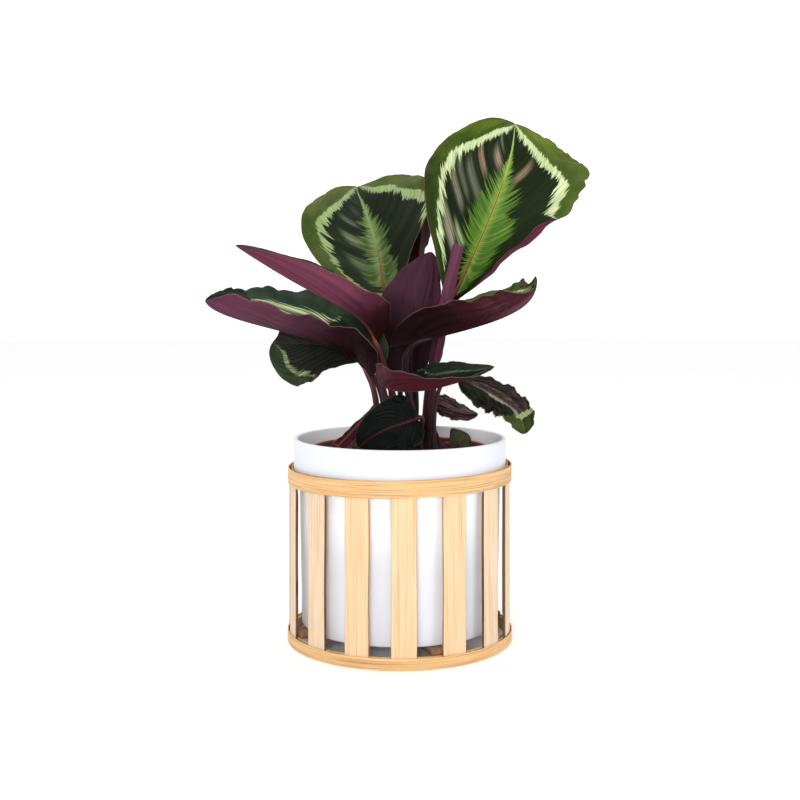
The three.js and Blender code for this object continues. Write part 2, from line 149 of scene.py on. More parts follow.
# Brightness of the surroundings: those behind the camera and all others, and where one turns into the other
FRONT_SKY = 0.35
BACK_SKY = 1.35
SKY_TURN = (-0.45, 0.05)
FLOOR_RADIUS = 6.0
LIGHT_AIM = (0.0, 0.0, 0.18)


# Meshes

def add(name, data):
    """A new object in the scene."""
    obj = bpy.data.objects.new(name, data)
    bpy.context.scene.collection.objects.link(obj)
    return obj


def piece(name, points, faces, materials, face_material=None, attributes=None, replaces=()):
    """A smooth mesh on the part's only body, from points in millimetres from the planter's axis."""
    mesh = bpy.data.meshes.new(name)
    placed = (np.asarray(points, float) - (AXIS_LEFT, 0, 0)) * MM
    mesh.from_pydata(placed.tolist(), [], [list(f) for f in faces])
    for material in materials:
        mesh.materials.append(material)
    if face_material is not None:
        mesh.polygons.foreach_set("material_index", np.asarray(face_material, np.int32))
    mesh.polygons.foreach_set("use_smooth", np.ones(len(mesh.polygons), bool))
    for key, values in (attributes or {}).items():
        layer = mesh.attributes.new(key, "FLOAT_VECTOR", "POINT")
        layer.data.foreach_set("vector", np.asarray(values, np.float32).ravel())
    mesh.update()
    obj = add(name, mesh)
    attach(obj, "root")
    if replaces:
        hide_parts(*replaces)


def grid_faces(rows, columns, start=0, flip=False, closed=False):
    """Quads of a grid of points that is stored row by row."""
    faces = []
    for i in range(rows - 1):
        for k in range(columns if closed else columns - 1):
            n = (k + 1) % columns
            a, b = start + i * columns + k, start + i * columns + n
            c, d = start + (i + 1) * columns + n, start + (i + 1) * columns + k
            faces.append((a, d, c, b) if flip else (a, b, c, d))
    return faces


def fans(rows, columns, low, high):
    """Triangles from the first row to the point low, and from the last row to the point high."""
    faces = []
    last = (rows - 1) * columns
    for k in range(columns):
        n = (k + 1) % columns
        faces += [(low, n, k), (high, last + k, last + n)]
    return faces


def caps(rows, columns, start=0):
    """One face over the first row of a grid and one over the last."""
    last = start + (rows - 1) * columns
    return [tuple(start + k for k in reversed(range(columns))), tuple(last + k for k in range(columns))]


def rounded(profile, radius, steps):
    """A profile of (r, z) points with the corners between its ends rounded off."""
    out = [np.array(profile[0], float)]
    for i in range(1, len(profile) - 1):
        before, here, after = (np.array(profile[j], float) for j in (i - 1, i, i + 1))
        to_before, to_after = before - here, after - here
        cut = min(radius, 0.45 * np.linalg.norm(to_before), 0.45 * np.linalg.norm(to_after))
        first = here + to_before / np.linalg.norm(to_before) * cut
        last = here + to_after / np.linalg.norm(to_after) * cut
        for k in range(steps + 1):
            t = k / steps
            out.append((1 - t) ** 2 * first + 2 * t * (1 - t) * here + t * t * last)
    out.append(np.array(profile[-1], float))
    return np.array(out)


def turns(sides):
    """Angles of one turn, in even steps."""
    return np.linspace(0, 2 * np.pi, sides, endpoint=False)


def lathe(profile, sides, close):
    """Points and faces of a profile turned round Z. One that isn't closed starts and ends on the axis."""
    profile = np.asarray(profile, float)
    body = profile if close else profile[1:-1]
    angles = turns(sides)
    ring = np.stack([np.outer(body[:, 0], np.sin(angles)), np.outer(body[:, 0], -np.cos(angles)),
                     np.repeat(body[:, 1:2], sides, axis=1)], -1)
    points = ring.reshape(-1, 3)
    rows = len(body)
    faces = grid_faces(rows, sides, closed=True)
    if close:
        last = (rows - 1) * sides
        for k in range(sides):
            n = (k + 1) % sides
            faces.append((last + k, last + n, n, k))
    else:
        points = np.vstack([points, [[0, 0, profile[0][1]], [0, 0, profile[-1][1]]]])
        faces += fans(rows, sides, rows * sides, rows * sides + 1)
    return points, faces


def tube(path, radii, sides, start=0, ridge=0.0, ridges=6):
    """Points and faces of a closed tube along a path, plain or with ridges along it."""
    path = np.asarray(path, float)
    along = np.gradient(path, axis=0)
    along /= np.linalg.norm(along, axis=1, keepdims=True)
    turn = turns(sides)
    out = 1 + ridge * np.cos(ridges * turn)
    points = []
    first = np.cross([1, 0.02, 0.0], along[0])
    if np.linalg.norm(first) < 0.1:
        first = np.cross([0, 1.0, 0.0], along[0])
    for place, ahead, radius in zip(path, along, radii):
        first = first - ahead * first.dot(ahead)
        first /= np.linalg.norm(first)
        second = np.cross(ahead, first)
        ring = np.outer(out * np.cos(turn), first) + np.outer(out * np.sin(turn), second)
        points.append(place + radius * ring)
    faces = grid_faces(len(path), sides, start, closed=True) + caps(len(path), sides, start)
    return np.vstack(points), faces


# Procedural materials

def srgb(r, g, b):
    """A colour given as 0 to 255 on a screen, as shaders take it."""
    out = []
    for value in (r, g, b):
        c = value / 255
        out.append(c / 12.92 if c <= 0.04045 else ((c + 0.055) / 1.055) ** 2.4)
    return (*out, 1.0)


def operation(kind, swap=False):
    """A method that adds one math node for a number and what it is joined with."""
    def run(self, *others):
        return self.graph.math(kind, *((*others, self) if swap else (self, *others)))
    return run


class Num:
    """A number that changes over a surface. Arithmetic on it adds math nodes."""

    def __init__(self, graph, socket):
        self.graph = graph
        self.socket = socket

    __add__ = __radd__ = operation("ADD")
    __mul__ = __rmul__ = operation("MULTIPLY")
    __sub__ = operation("SUBTRACT")
    __rsub__ = operation("SUBTRACT", swap=True)
    sin = operation("SINE")
    exp = operation("EXPONENT")
    abs = operation("ABSOLUTE")
    most = operation("MAXIMUM")
    least = operation("MINIMUM")

    def step(self, low, high):
        """0 below low, 1 above high and smooth between. low may be the larger, and either may change too."""
        node = self.graph.node("ShaderNodeMapRange")
        node.interpolation_type = "SMOOTHSTEP"
        for key, value in (("Value", self), ("From Min", low), ("From Max", high)):
            self.graph.feed(node.inputs[key], value)
        return Num(self.graph, node.outputs[0])


class Graph:
    """A material with a Principled shader, and short ways to add the nodes that drive it."""

    def __init__(self, name, **constants):
        self.material = bpy.data.materials.new(name)
        self.material.use_nodes = True
        self.tree = self.material.node_tree
        self.shader = self.tree.nodes["Principled BSDF"]
        for key, value in constants.items():
            self.shader.inputs[key.replace("_", " ")].default_value = value

    def node(self, kind):
        return self.tree.nodes.new(kind)

    def feed(self, socket, value):
        """Links a number or colour that changes, or sets one that doesn't. Colours go from 0 to 255."""
        if isinstance(value, Num):
            self.tree.links.new(value.socket, socket)
            return
        if isinstance(value, tuple):
            value = srgb(*value)
        socket.default_value = value[:3] if socket.type == "VECTOR" else value

    def math(self, kind, *values):
        node = self.node("ShaderNodeMath")
        node.operation = kind
        for socket, value in zip(node.inputs, values):
            self.feed(socket, value)
        return Num(self, node.outputs[0])

    def split(self, vector):
        node = self.node("ShaderNodeSeparateXYZ")
        self.tree.links.new(vector, node.inputs[0])
        return [Num(self, out) for out in node.outputs]

    def attribute(self, key):
        node = self.node("ShaderNodeAttribute")
        node.attribute_name = key
        return self.split(node.outputs["Vector"])

    def place(self):
        """Place on the object in millimetres."""
        return [v * (1 / MM) for v in self.split(self.node("ShaderNodeTexCoord").outputs["Object"])]

    def noise(self, x, y=0.0, z=0.0, detail=2.0, rough=0.5):
        """Noise from 0 to 1 at a place that is already scaled."""
        join = self.node("ShaderNodeCombineXYZ")
        for socket, value in zip(join.inputs, (x, y, z)):
            self.feed(socket, value)
        node = self.node("ShaderNodeTexNoise")
        self.tree.links.new(join.outputs[0], node.inputs["Vector"])
        for key, value in (("Scale", 1.0), ("Detail", detail), ("Roughness", rough)):
            node.inputs[key].default_value = value
        return Num(self, node.outputs[0])

    def even_noise(self, place, scale, detail=2.0, rough=0.5):
        """Noise that is as coarse in every direction."""
        return self.noise(*(v * scale for v in place), detail, rough)

    def curve(self, value, points):
        """A smooth curve through (value, result) points, both from 0 to 1."""
        node = self.node("ShaderNodeFloatCurve")
        line = node.mapping.curves[0]
        for k, (x, y) in enumerate(points):
            if k < 2:
                line.points[k].location = (x, y)
            else:
                line.points.new(x, y)
        node.mapping.update()
        self.feed(node.inputs["Value"], value)
        return Num(self, node.outputs[0])

    def mix(self, share, first, second):
        """Colour: first at share 0 and second at share 1."""
        node = self.node("ShaderNodeMix")
        node.data_type = "RGBA"
        for index, value in ((0, share), (6, first), (7, second)):
            self.feed(node.inputs[index], value)
        return Num(self, node.outputs[2])

    def scale(self, colour, factor):
        """A colour made lighter or darker."""
        node = self.node("ShaderNodeVectorMath")
        node.operation = "SCALE"
        self.feed(node.inputs[0], colour)
        self.feed(node.inputs["Scale"], factor)
        return Num(self, node.outputs[0])

    def finish(self, colour, rough, height=None, depth=0.0):
        """The material, with colour, roughness and a relief from 0 to 1 that is depth millimetres deep."""
        self.feed(self.shader.inputs["Base Color"], colour)
        self.feed(self.shader.inputs["Roughness"], rough)
        if height is not None:
            node = self.node("ShaderNodeBump")
            node.inputs["Strength"].default_value = 1.0
            node.inputs["Distance"].default_value = depth * MM
            self.feed(node.inputs["Height"], height)
            self.tree.links.new(node.outputs[0], self.shader.inputs["Normal"])
        return self.material


def glaze_material():
    """White glaze, with painted light: the inside of the wall is painted whiter than the outside."""
    g = Graph("white_glaze", IOR=1.45, Specular_IOR_Level=0.4)
    x, y, z = place = g.place()
    cloud = g.even_noise(place, 0.03)
    speck = g.even_noise(place, 0.9, 4)
    outside = g.mix(cloud, (214, 217, 225), (221, 224, 231))
    from_axis = x + AXIS_LEFT
    # Painted light: the upper inside of the wall is painted near white, lighter than the outside glaze, for
    # light that the inside doesn't get.
    inside = (from_axis * from_axis + y * y).step(*(r**2 for r in PAINTED_LIGHT_RADII)) * z.step(*PAINTED_LIGHT_HEIGHTS)
    colour = g.mix(inside, outside, (248, 249, 252))
    return g.finish(colour, 0.34 + 0.12 * speck, cloud * 0.7 + speck * 0.3, 0.08)


def liner_material():
    """Scuffed plastic with dirt on it, most below the rim."""
    g = Graph("terracotta_plastic", IOR=1.46, Specular_IOR_Level=0.3)
    x, y, z = place = g.place()
    scuff = g.noise(x * 0.12, y * 0.12, z * 0.5, detail=5)
    dirt = g.even_noise(place, 0.4, 5).step(0.5, 0.7)
    plain = g.mix(scuff, (150, 62, 34), (196, 92, 54))
    dusty = z.step(*DIRT_TOP) * z.step(*DIRT_LOW) * 0.9
    colour = g.mix((dirt * 0.6).most(dusty), plain, (48, 31, 23))
    return g.finish(colour, 0.5 + 0.25 * scuff, g.even_noise(place, 2.2, 4), 0.08)


def soil_material():
    g = Graph("potting_mix", IOR=1.4, Specular_IOR_Level=0.2)
    place = g.place()
    lump = g.even_noise(place, 0.22, 6, 0.7)
    grain = g.even_noise(place, 1.4, 5, 0.7)
    dark = g.mix(grain.step(0.3, 0.7), (30, 19, 15), (78, 50, 38))
    colour = g.mix(lump.step(0.5, 0.8) * 0.35, dark, (104, 60, 42))
    return g.finish(colour, 0.75 + 0.2 * grain, grain * 0.6 + lump * 0.4, 1.2)


def fibre_material():
    g = Graph("coir_and_bark", IOR=1.4, Specular_IOR_Level=0.2)
    place = g.place()
    tone = g.even_noise(place, 0.5, 3)
    colour = g.mix(tone.step(0.3, 0.7), (54, 30, 22), (150, 84, 56))
    return g.finish(colour, 0.8 + 0.15 * tone, g.even_noise(place, 4, 3), 0.15)


def bamboo_material(name, light, dark, line, lines=1.0):
    """Bamboo whose grain attribute holds across and along in millimetres, and the number of the stick."""
    g = Graph(name, IOR=1.45, Specular_IOR_Level=0.3, Coat_Weight=0.05, Coat_Roughness=0.35)
    across, along, stick = g.attribute("grain")
    wander = g.noise(along * 0.012, stick * 7.3, detail=2) * 1.6
    strand = g.noise((across + wander) * 1.5, along * 0.006, stick * 3.1, detail=4, rough=0.6)
    fibre = g.noise((across + wander) * 5.0, along * 0.014, stick * 5.7, detail=3, rough=0.5)
    broad = g.noise(across * 0.16, along * 0.02, stick * 11.0, detail=2)
    tone = strand.step(0.3, 0.72) * 0.6 + broad.step(0.3, 0.7) * 0.4
    base = g.mix(tone, light, dark)
    thin = fibre.step(0.5, 0.68) * 0.8 * lines
    fleck = g.noise(across * 1.3, along * 0.03, stick * 2.0 + 40.0, detail=1).step(0.71, 0.77) * 0.3
    colour = g.mix((thin + fleck).least(1.0), base, line)
    return g.finish(colour, 0.46 + 0.2 * strand, strand * 0.5 + fibre * 0.5, 0.1)


def stem_material(name, low, high, streaks, neck):
    """A stem whose leaf attribute holds how far up it is, from 0 to 1, and the turn round it."""
    g = Graph(name, IOR=1.42, Specular_IOR_Level=0.3)
    up, turn, seed = g.attribute("leaf")
    streak = g.noise(turn * 9.0, up * 2.0, seed, detail=4, rough=0.6)
    blotch = g.noise(turn * 2.0, up * 7.0, seed + 9.0, detail=3)
    base = g.mix(up.step(0.1, 0.9), low, high)
    skin = g.mix(streak.step(0.45, 0.8) * 0.6 + blotch.step(0.5, 0.8) * 0.2, base, streaks)
    colour = g.mix(up.step(0.85, 0.95), skin, neck)
    return g.finish(colour, 0.4 + 0.2 * streak, streak * 0.7 + blotch * 0.3, 0.2)


def vein_of(u, a, exp):
    """Which side vein a place lies on, as the place on the rib where it starts: veins lean to the tip."""
    return (u + 0.417 * a + 0.065) * exp(-1.8 * a) - 0.065


def upper_material(name, leaf, seed):
    """Upper side of a blade: feathered plume along the rib, dark field, jagged pale ring, green border."""
    g = Graph(name, IOR=1.42, Specular_IOR_Level=leaf["shine"])
    u, s, half = g.attribute("leaf")
    away, inset, _ = g.attribute("reach")
    a = s.abs()
    vein = vein_of(u, a, Num.exp)
    shift = half * 31.0 + seed

    def of_side(pair):
        return g.mix(half, *pair)

    def line(pair):
        """A curve along the rib for each half, from 0 to 1.2."""
        left, right = (g.curve(u, [(x, y / 1.2) for x, y in points]) * 1.2 for points in pair)
        return left + (right - left) * half

    def teeth(extra):
        """Spikes along the side veins, about -1 to 1: small ones on larger ones."""
        small = g.noise(vein * 270.0, shift + extra, detail=2, rough=0.6) - 0.5
        large = g.noise(vein * 75.0, shift + extra + 5.0, detail=1) - 0.5
        return small * 5.0 + large * 4.0

    begin, end = line(leaf["ring_inner"]), line(leaf["ring_outer"])
    slow = (g.noise(vein * 26.0, shift + 17.0, detail=2) - 0.5) * 0.14 * (end - begin).step(0.0, 0.08)
    inner = begin + slow - leaf["jag"] * teeth(1.0)
    outer = end - slow * 0.3 + leaf["jag"] * 0.5 * teeth(2.0)
    in_ring = a.step(inner - 0.008, inner + 0.01) * (1.0 - a.step(outer - 0.01, outer + 0.008))
    strokes = g.noise(vein * 130.0, shift + 29.0, detail=1).step(0.42, 0.52)
    in_ring = in_ring * (end - begin).step(0.0, 0.03) * (1.0 - leaf["broken"] * (1.0 - strokes))
    beyond = a.step(inner, inner + 0.03)
    plume = line(leaf["plume"])
    low = 1.0 - u.step(0.06, 0.2)
    feather = plume + plume.step(0.0, 0.12) * teeth(6.0) * (leaf["barbs"] + 0.05 * low)
    in_plume = 1.0 - a.step(feather - 0.015, feather + 0.012)

    fine = g.noise(vein * 240.0, a * 1.5, shift + 11.0, detail=3)
    stripe = g.noise(vein * 90.0, a * 0.7, shift + 12.0, detail=3)
    band = g.noise(vein * 24.0, a * 1.2, shift + 14.0, detail=2)
    cloud = g.noise(u * 5.0, s * 3.0, seed + 13.0, detail=2)
    field = of_side(leaf["dark"])
    lighter = band.step(0.42, 0.75) * 0.5 + fine.step(0.45, 0.8) * 0.3
    field = g.mix(lighter, field, of_side(leaf["dark_stripe"]))
    for side, place, width, start, end, tint in leaf["streaks"]:
        near = (vein - place).abs().step(width, width * 0.1)
        near = near * a.step(start, start + 0.15) * a.step(end, end - 0.15)
        near = near * (half if side else 1.0 - half) * (fine.step(0.3, 0.65) * 0.8 + 0.35)
        field = g.mix(near.least(1.0), field, tint)
    if leaf["creases"]:
        crease = g.noise(s * 7.0, u * 1.6, seed + 31.0, detail=3, rough=0.6).step(0.56, 0.42)
        field = g.mix(crease * leaf["creases"], field, leaf["crease_tint"])
    share = cloud.step(0.3, 0.7) * 0.4 + u.step(0.55, 0.95) * 0.3 + half * leaf["border_right"]
    border = g.mix(share.least(1.0), leaf["border"], leaf["border_light"])
    border = g.scale(border, 0.78 + 0.4 * stripe)
    colour = g.mix(beyond, field, border)
    heart = (1.0 - away.step(1.0, 7.0)) * 0.55 + fine.step(0.42, 0.7) * 0.6
    green = g.mix(heart.least(1.0), leaf["plume_edge"], leaf["plume_heart"])
    colour = g.mix(in_plume, colour, g.scale(green, 0.5 + 0.5 * fine + 0.5 * stripe))
    pale = g.mix(fine.step(0.3, 0.7), leaf["pale"], leaf["pale_light"])
    colour = g.mix(in_ring, colour, g.scale(pale, 0.86 + 0.3 * stripe))
    rib_wide = (1.2 - 0.8 * u) * leaf["rib_wide"]
    colour = g.mix(away.step(rib_wide, rib_wide * 0.6), colour, leaf["rib_tint"])
    core = (1.0 - u.step(*leaf["rib_turn"])) * away.step(rib_wide * 0.6, rib_wide * 0.35)
    colour = g.mix(core, colour, leaf["rib_base"])
    colour = g.mix(inset.step(0.55, 0.25) * u.step(0.01, 0.06), colour, leaf["edge"])
    pleat = (vein * (2 * math.pi * leaf["veins"])).sin()
    height = fine * 0.25 + stripe * 0.35 + pleat * 0.15 + 0.2
    return g.finish(colour, 0.42 + 0.16 * stripe, height, leaf["relief"])


def under_material(name, leaf, seed):
    """Underside of a blade: maroon with fine side veins, mostly darker to the base as painted shade, and a
    brownish rib.
    """
    g = Graph(name, IOR=1.4, Specular_IOR_Level=leaf["under_shine"])
    u, s, half = g.attribute("leaf")
    away, inset, _ = g.attribute("reach")
    a = s.abs()
    vein = vein_of(u, a, Num.exp)
    cloud = g.noise(vein * 9.0, a * 2.0, half * 5.0 + seed + 3.0, detail=3)
    stripe = g.noise(vein * 110.0, a * 0.6, seed + half * 9.0, detail=3)
    line = (vein * (math.pi * leaf["veins"])).sin().abs().step(0.12, 0.0)
    ridge = g.noise(s * 6.0, u * 0.8, seed + 21.0, detail=3)
    # Painted shade: under_base, mostly darker than under_tip, paints the shade towards the heart of the
    # plant.
    colour = g.mix(u.step(*leaf["under_turn"]), leaf["under_base"], leaf["under_tip"])
    colour = g.scale(colour, 0.3 + 0.95 * cloud + 0.22 * stripe + 0.16 * ridge - 0.04 * line)
    colour = g.mix(ridge.step(0.56, 0.7) * u.step(0.3, 0.6) * leaf["ridges"], colour, leaf["ridge_tint"])
    rib_wide = 0.3 + (1.2 - 0.8 * u) * leaf["under_rib_wide"]
    colour = g.mix(away.step(rib_wide, rib_wide * 0.4) * 0.8, colour, leaf["under_rib"])
    margin = inset.step(0.6, 0.2) * u.step(0.02, 0.12) * leaf["under_edge_share"]
    colour = g.mix(margin, colour, leaf["under_edge"])
    return g.finish(colour, 0.45 + 0.15 * stripe, stripe * 0.4 + line * 0.2 + ridge * 0.3, 0.5)


def edge_material(name, leaf, seed):
    g = Graph(name, IOR=1.4, Specular_IOR_Level=0.2)
    u, _, half = g.attribute("leaf")
    tone = g.noise(u * 30.0, half * 5.0 + seed, detail=2)
    return g.finish(g.scale(leaf["edge"], 0.7 + 0.6 * tone), 0.5 + 0.15 * tone)


# Planter, liner and filling

def make_planter():
    inner = POT_RADIUS - POT_WALL
    inner_foot = BODY_FOOT_RADIUS - POT_WALL
    inner_body = BODY_RADIUS - POT_WALL
    profile = [
        (0, POT_FOOT),
        (BODY_FOOT_RADIUS, POT_FOOT),
        (BODY_RADIUS, COLLAR_BOTTOM - COLLAR_SLANT),
        (POT_RADIUS, COLLAR_BOTTOM),
        (POT_RADIUS, POT_TOP),
        (inner, POT_TOP),
        (inner, COLLAR_BOTTOM + COLLAR_INSIDE_SLANT),
        (inner_body, COLLAR_BOTTOM),
        (inner_foot, POT_FOOT + POT_FLOOR),
        (0, POT_FOOT + POT_FLOOR),
    ]
    points, faces = lathe(rounded(profile, POT_SOFT, 5), POT_SIDES, close=False)
    piece("planter", points, faces, [glaze_material()], replaces=["pot"])


def liner_radius(z):
    foot = POT_FOOT + POT_FLOOR + GAP
    share = (z - foot) / (LINER_TOP - foot)
    return LINER_FOOT_RADIUS + (LINER_RIM_RADIUS - 2 - LINER_FOOT_RADIUS) * share


def make_liner():
    foot = POT_FOOT + POT_FLOOR + GAP
    lip = LINER_TOP - LINER_LIP
    rim = LINER_RIM_RADIUS
    profile = [
        (0, foot),
        (LINER_FOOT_RADIUS, foot),
        (liner_radius(lip), lip),
        (rim, lip),
        (rim, LINER_TOP),
        (rim - 1.4, LINER_TOP),
        (rim - 1.6, lip + 1.4),
        (liner_radius(lip) - LINER_WALL, lip),
        (LINER_FOOT_RADIUS - LINER_WALL, foot + LINER_FLOOR),
        (0, foot + LINER_FLOOR),
    ]
    points, faces = lathe(rounded(profile, LINER_SOFT, 3), LINER_SIDES, close=False)
    piece("terracotta_liner", points, faces, [liner_material()], replaces=["nursery_pot"])


def soil_height(x, y):
    """Height of the mix: the same two long swells as the solid, with crumbs on them."""
    coarse = np.sin(x * 0.16 + 1.1) * np.cos(y * 0.14 - 0.4)
    fine = np.sin(x * 0.37 - y * 0.29)
    crumbs = 0.35 * np.sin(x * 1.31 + 2.1 * np.sin(y * 0.9)) * np.sin(y * 1.47 + 1.7 * np.sin(x * 1.1))
    crumbs = crumbs + 0.22 * np.sin(x * 2.9 + y * 1.3) * np.sin(y * 3.3 - x * 0.8)
    back = np.clip((y - SOIL_RISE_START) / SOIL_RISE_LENGTH, 0, 1)
    rise = SOIL_BACK_RISE * back * back * (3 - 2 * back)
    return SOIL_TOP + SOIL_LUMP * (0.65 * coarse + 0.35 * fine) + rise + crumbs


def make_soil():
    foot = POT_FOOT + POT_FLOOR + LINER_FLOOR + 2 * GAP
    play = LINER_WALL + GAP + 0.3
    top = LINER_TOP - LINER_LIP - 3
    edge = liner_radius(top) - play
    turn = turns(SOIL_SIDES)
    rings = [(LINER_FOOT_RADIUS - play, foot), (edge, top)]
    rings += [(edge * (1 - i / SOIL_RINGS) * 0.995, None) for i in range(SOIL_RINGS)]
    points = []
    for radius, z in rings:
        x, y = radius * np.sin(turn), -radius * np.cos(turn)
        height = soil_height(x, y) if z is None else np.full(SOIL_SIDES, z)
        points.append(np.stack([x, y, height], 1))
    points = np.vstack([*points, [[0, 0, foot]], [[0, 0, soil_height(0.0, 0.0)]]])
    faces = grid_faces(len(rings), SOIL_SIDES, closed=True)
    faces += fans(len(rings), SOIL_SIDES, len(points) - 2, len(points) - 1)
    piece("potting_mix", points, faces, [soil_material()], replaces=["soil"])


def make_bits():
    """Bark chips and coir fibres on the mix."""
    draw = np.random.default_rng(BITS_SEED)
    points, faces = [], []

    def any_turn():
        return draw.random() * 2 * math.pi

    def any_place(reach):
        radius, turn = reach * math.sqrt(draw.random()), any_turn()
        return radius * math.cos(turn), radius * math.sin(turn)

    def ground(x, y):
        return float(soil_height(x, y)) + BIT_LIFT

    corners = np.array([[x, y, z] for x in (-1, 1) for y in (-1, 1) for z in (-1, 1)], float)
    quads = [(0, 1, 3, 2), (4, 6, 7, 5), (0, 4, 5, 1), (2, 3, 7, 6), (0, 2, 6, 4), (1, 5, 7, 3)]
    for _ in range(CHIP_COUNT):
        x, y = any_place(CHIP_REACH)
        size = draw.uniform(0.5, 2.2) * np.array([1.0, draw.uniform(0.4, 0.9), draw.uniform(0.25, 0.6)])
        shape = corners * size * draw.uniform(0.6, 1.1, (8, 3))
        spin, tip = any_turn(), draw.uniform(-0.6, 0.6)
        c, s = math.cos(spin), math.sin(spin)
        ct, st = math.cos(tip), math.sin(tip)
        tipped = shape @ np.array([[ct, 0, st], [0, 1, 0], [-st, 0, ct]])
        turned = tipped @ np.array([[c, s, 0], [-s, c, 0], [0, 0, 1]])
        start = len(points)
        points.extend(turned + [x, y, ground(x, y)])
        faces.extend(tuple(start + i for i in quad) for quad in quads)
    for _ in range(FIBRE_COUNT):
        x, y = any_place(FIBRE_REACH)
        heading, bend = any_turn(), draw.uniform(-0.35, 0.35)
        thick, lift = draw.uniform(0.12, 0.28), draw.uniform(0.2, 2.0)
        path = []
        for i in range(FIBRE_STEPS + 1):
            path.append((x, y, ground(x, y) + lift * math.sin(math.pi * i / FIBRE_STEPS)))
            x += FIBRE_STEP * math.cos(heading)
            y += FIBRE_STEP * math.sin(heading)
            heading += bend
        if math.hypot(x, y) < FIBRE_END_REACH:
            tube_points, tube_faces = tube(path, [thick] * len(path), 5, len(points))
            points.extend(tube_points)
            faces.extend(tube_faces)
    piece("bark_and_coir", points, faces, [fibre_material()])


# Bamboo stand

def askew(x):
    """The top hoop hangs a little askew: its height changes with x."""
    return HOOP_TOP_SLOPE * x


def make_hoop(name, outer, thickness, low, height, material, stick):
    """A band with soft edges. Its grain starts at the back."""
    inner = outer - thickness
    middle, high = inner + thickness / 2, low + height
    corners = [(middle, low), (outer, low), (outer, high), (inner, high), (inner, low), (middle, low)]
    profile = rounded(corners, HOOP_SOFT, 3)[:-1]
    points, faces = lathe(profile, HOOP_SIDES, close=True)
    turn = (np.tile(turns(HOOP_SIDES), len(profile)) + math.pi) % (2 * math.pi)
    grain = np.stack([points[:, 2], turn * outer, np.full(len(points), float(stick))], 1)
    if low > 0:
        points[:, 2] += askew(points[:, 0])
    piece(f"{name}_band", points, faces, [material], attributes={"grain": grain}, replaces=[name])


def make_slat(number, face, edge):
    """A slat that thins where the hoops hold it, with planed cut sides."""
    draw = np.random.default_rng(SLAT_SEED + number)
    middle = math.radians(SLAT_START + SLAT_SHIFTS[number] + number * 360 / SLAT_COUNT)
    low, high = SLAT_LOW, HOOP_TOP_LOW + HOOP_TOP_HEIGHT - 0.5
    outer_low = HOOP_BOTTOM_RADIUS - BAND - GAP
    outer_high = HOOP_TOP_RADIUS - BAND - GAP
    sway = draw.uniform(-0.25, 0.25, 3)
    soft = SLAT_SOFT
    points, grain = [], []
    for i in range(SLAT_ROWS):
        t = i / (SLAT_ROWS - 1)
        z = low + (high - low) * t
        outer = outer_low + (outer_high - outer_low) * t
        free = min(max((z - HOOP_BOTTOM_HEIGHT - 0.5) / 5, 0), max((HOOP_TOP_LOW - 0.5 - z) / 5, 0), 1)
        thick = SLAT_THICKNESS + (SLAT_MIDDLE_THICKNESS - SLAT_THICKNESS) * free * free * (3 - 2 * free)
        shift = (sway[0] * math.sin(3.1 * t + 1) + sway[1] * math.sin(6.7 * t)) * 0.8 * math.sin(math.pi * t)
        half = SLAT_WIDTH / 2 + sway[2] * 0.6 + 0.12 * math.sin(9 * t + number)
        flat = [half * a - soft * (a == 1) + soft * (a == -1) for a in np.linspace(-1, 1, SLAT_ARCS + 1)]
        outline = [(x, 0.0) for x in flat] + [(half, soft), (half, thick - soft)]
        outline += [(x, thick) for x in flat[::-1]] + [(-half, thick - soft), (-half, soft)]
        for x, depth in outline:
            turn = middle + (x + shift) / outer
            radius = outer - depth
            x_place = radius * math.sin(turn)
            points.append((x_place, -radius * math.cos(turn), z + t * askew(x_place)))
            grain.append((x, z, number + 1.0))
    count = len(outline)
    faces = grid_faces(SLAT_ROWS, count, closed=True) + caps(SLAT_ROWS, count)
    # The cut sides take the second material, which for slats away from the front has painted shade in it.
    kinds = ([0] * SLAT_ARCS + [1, 1, 1]) * 2 * (SLAT_ROWS - 1) + [1, 1]
    name = f"slat_{number + 1:02d}"
    piece(f"{name}_planed", points, faces, [face, edge], kinds, {"grain": grain}, [name])


def make_strip(name, degrees, lap_up, material, stick):
    """A flat strip under the planter, halved where it crosses the other."""
    half_length = HOOP_BOTTOM_RADIUS - BAND - SLAT_THICKNESS - 2 * GAP - 0.9
    low = HOOP_BOTTOM_HEIGHT + GAP
    half = STRIP_WIDTH / 2
    notch = half + GAP
    depth = STRIP_THICKNESS / 2 + GAP / 2
    soft = STRIP_SOFT
    to_notch = np.linspace(notch + 0.02, half_length - 2, 24)
    steps = [-half_length, -half_length + 0.5, *-to_notch[::-1], -notch,
             *np.linspace(-notch + 0.02, notch - 0.02, 8), notch,
             *to_notch, half_length - 0.5, half_length]
    c, s = math.cos(math.radians(degrees)), math.sin(math.radians(degrees))
    points, grain = [], []
    for x in steps:
        end = STRIP_END if abs(x) > half_length - 0.2 else 0.0
        cut = depth if abs(x) < notch else 0.0
        bottom = low + (cut if lap_up else 0.0) + end
        top = low + STRIP_THICKNESS - (0.0 if lap_up else cut) - end
        wide = half - end
        outline = [(-wide + soft, bottom), (wide - soft, bottom), (wide, bottom + soft), (wide, top - soft),
                   (wide - soft, top), (-wide + soft, top), (-wide, top - soft), (-wide, bottom + soft)]
        for y, z in outline:
            points.append((x * c - y * s, x * s + y * c, z))
            grain.append((y + z, x, float(stick)))
    count = len(outline)
    faces = grid_faces(len(steps), count, closed=True) + caps(len(steps), count)
    piece(f"{name}_planed", points, faces, [material], attributes={"grain": grain}, replaces=[name])


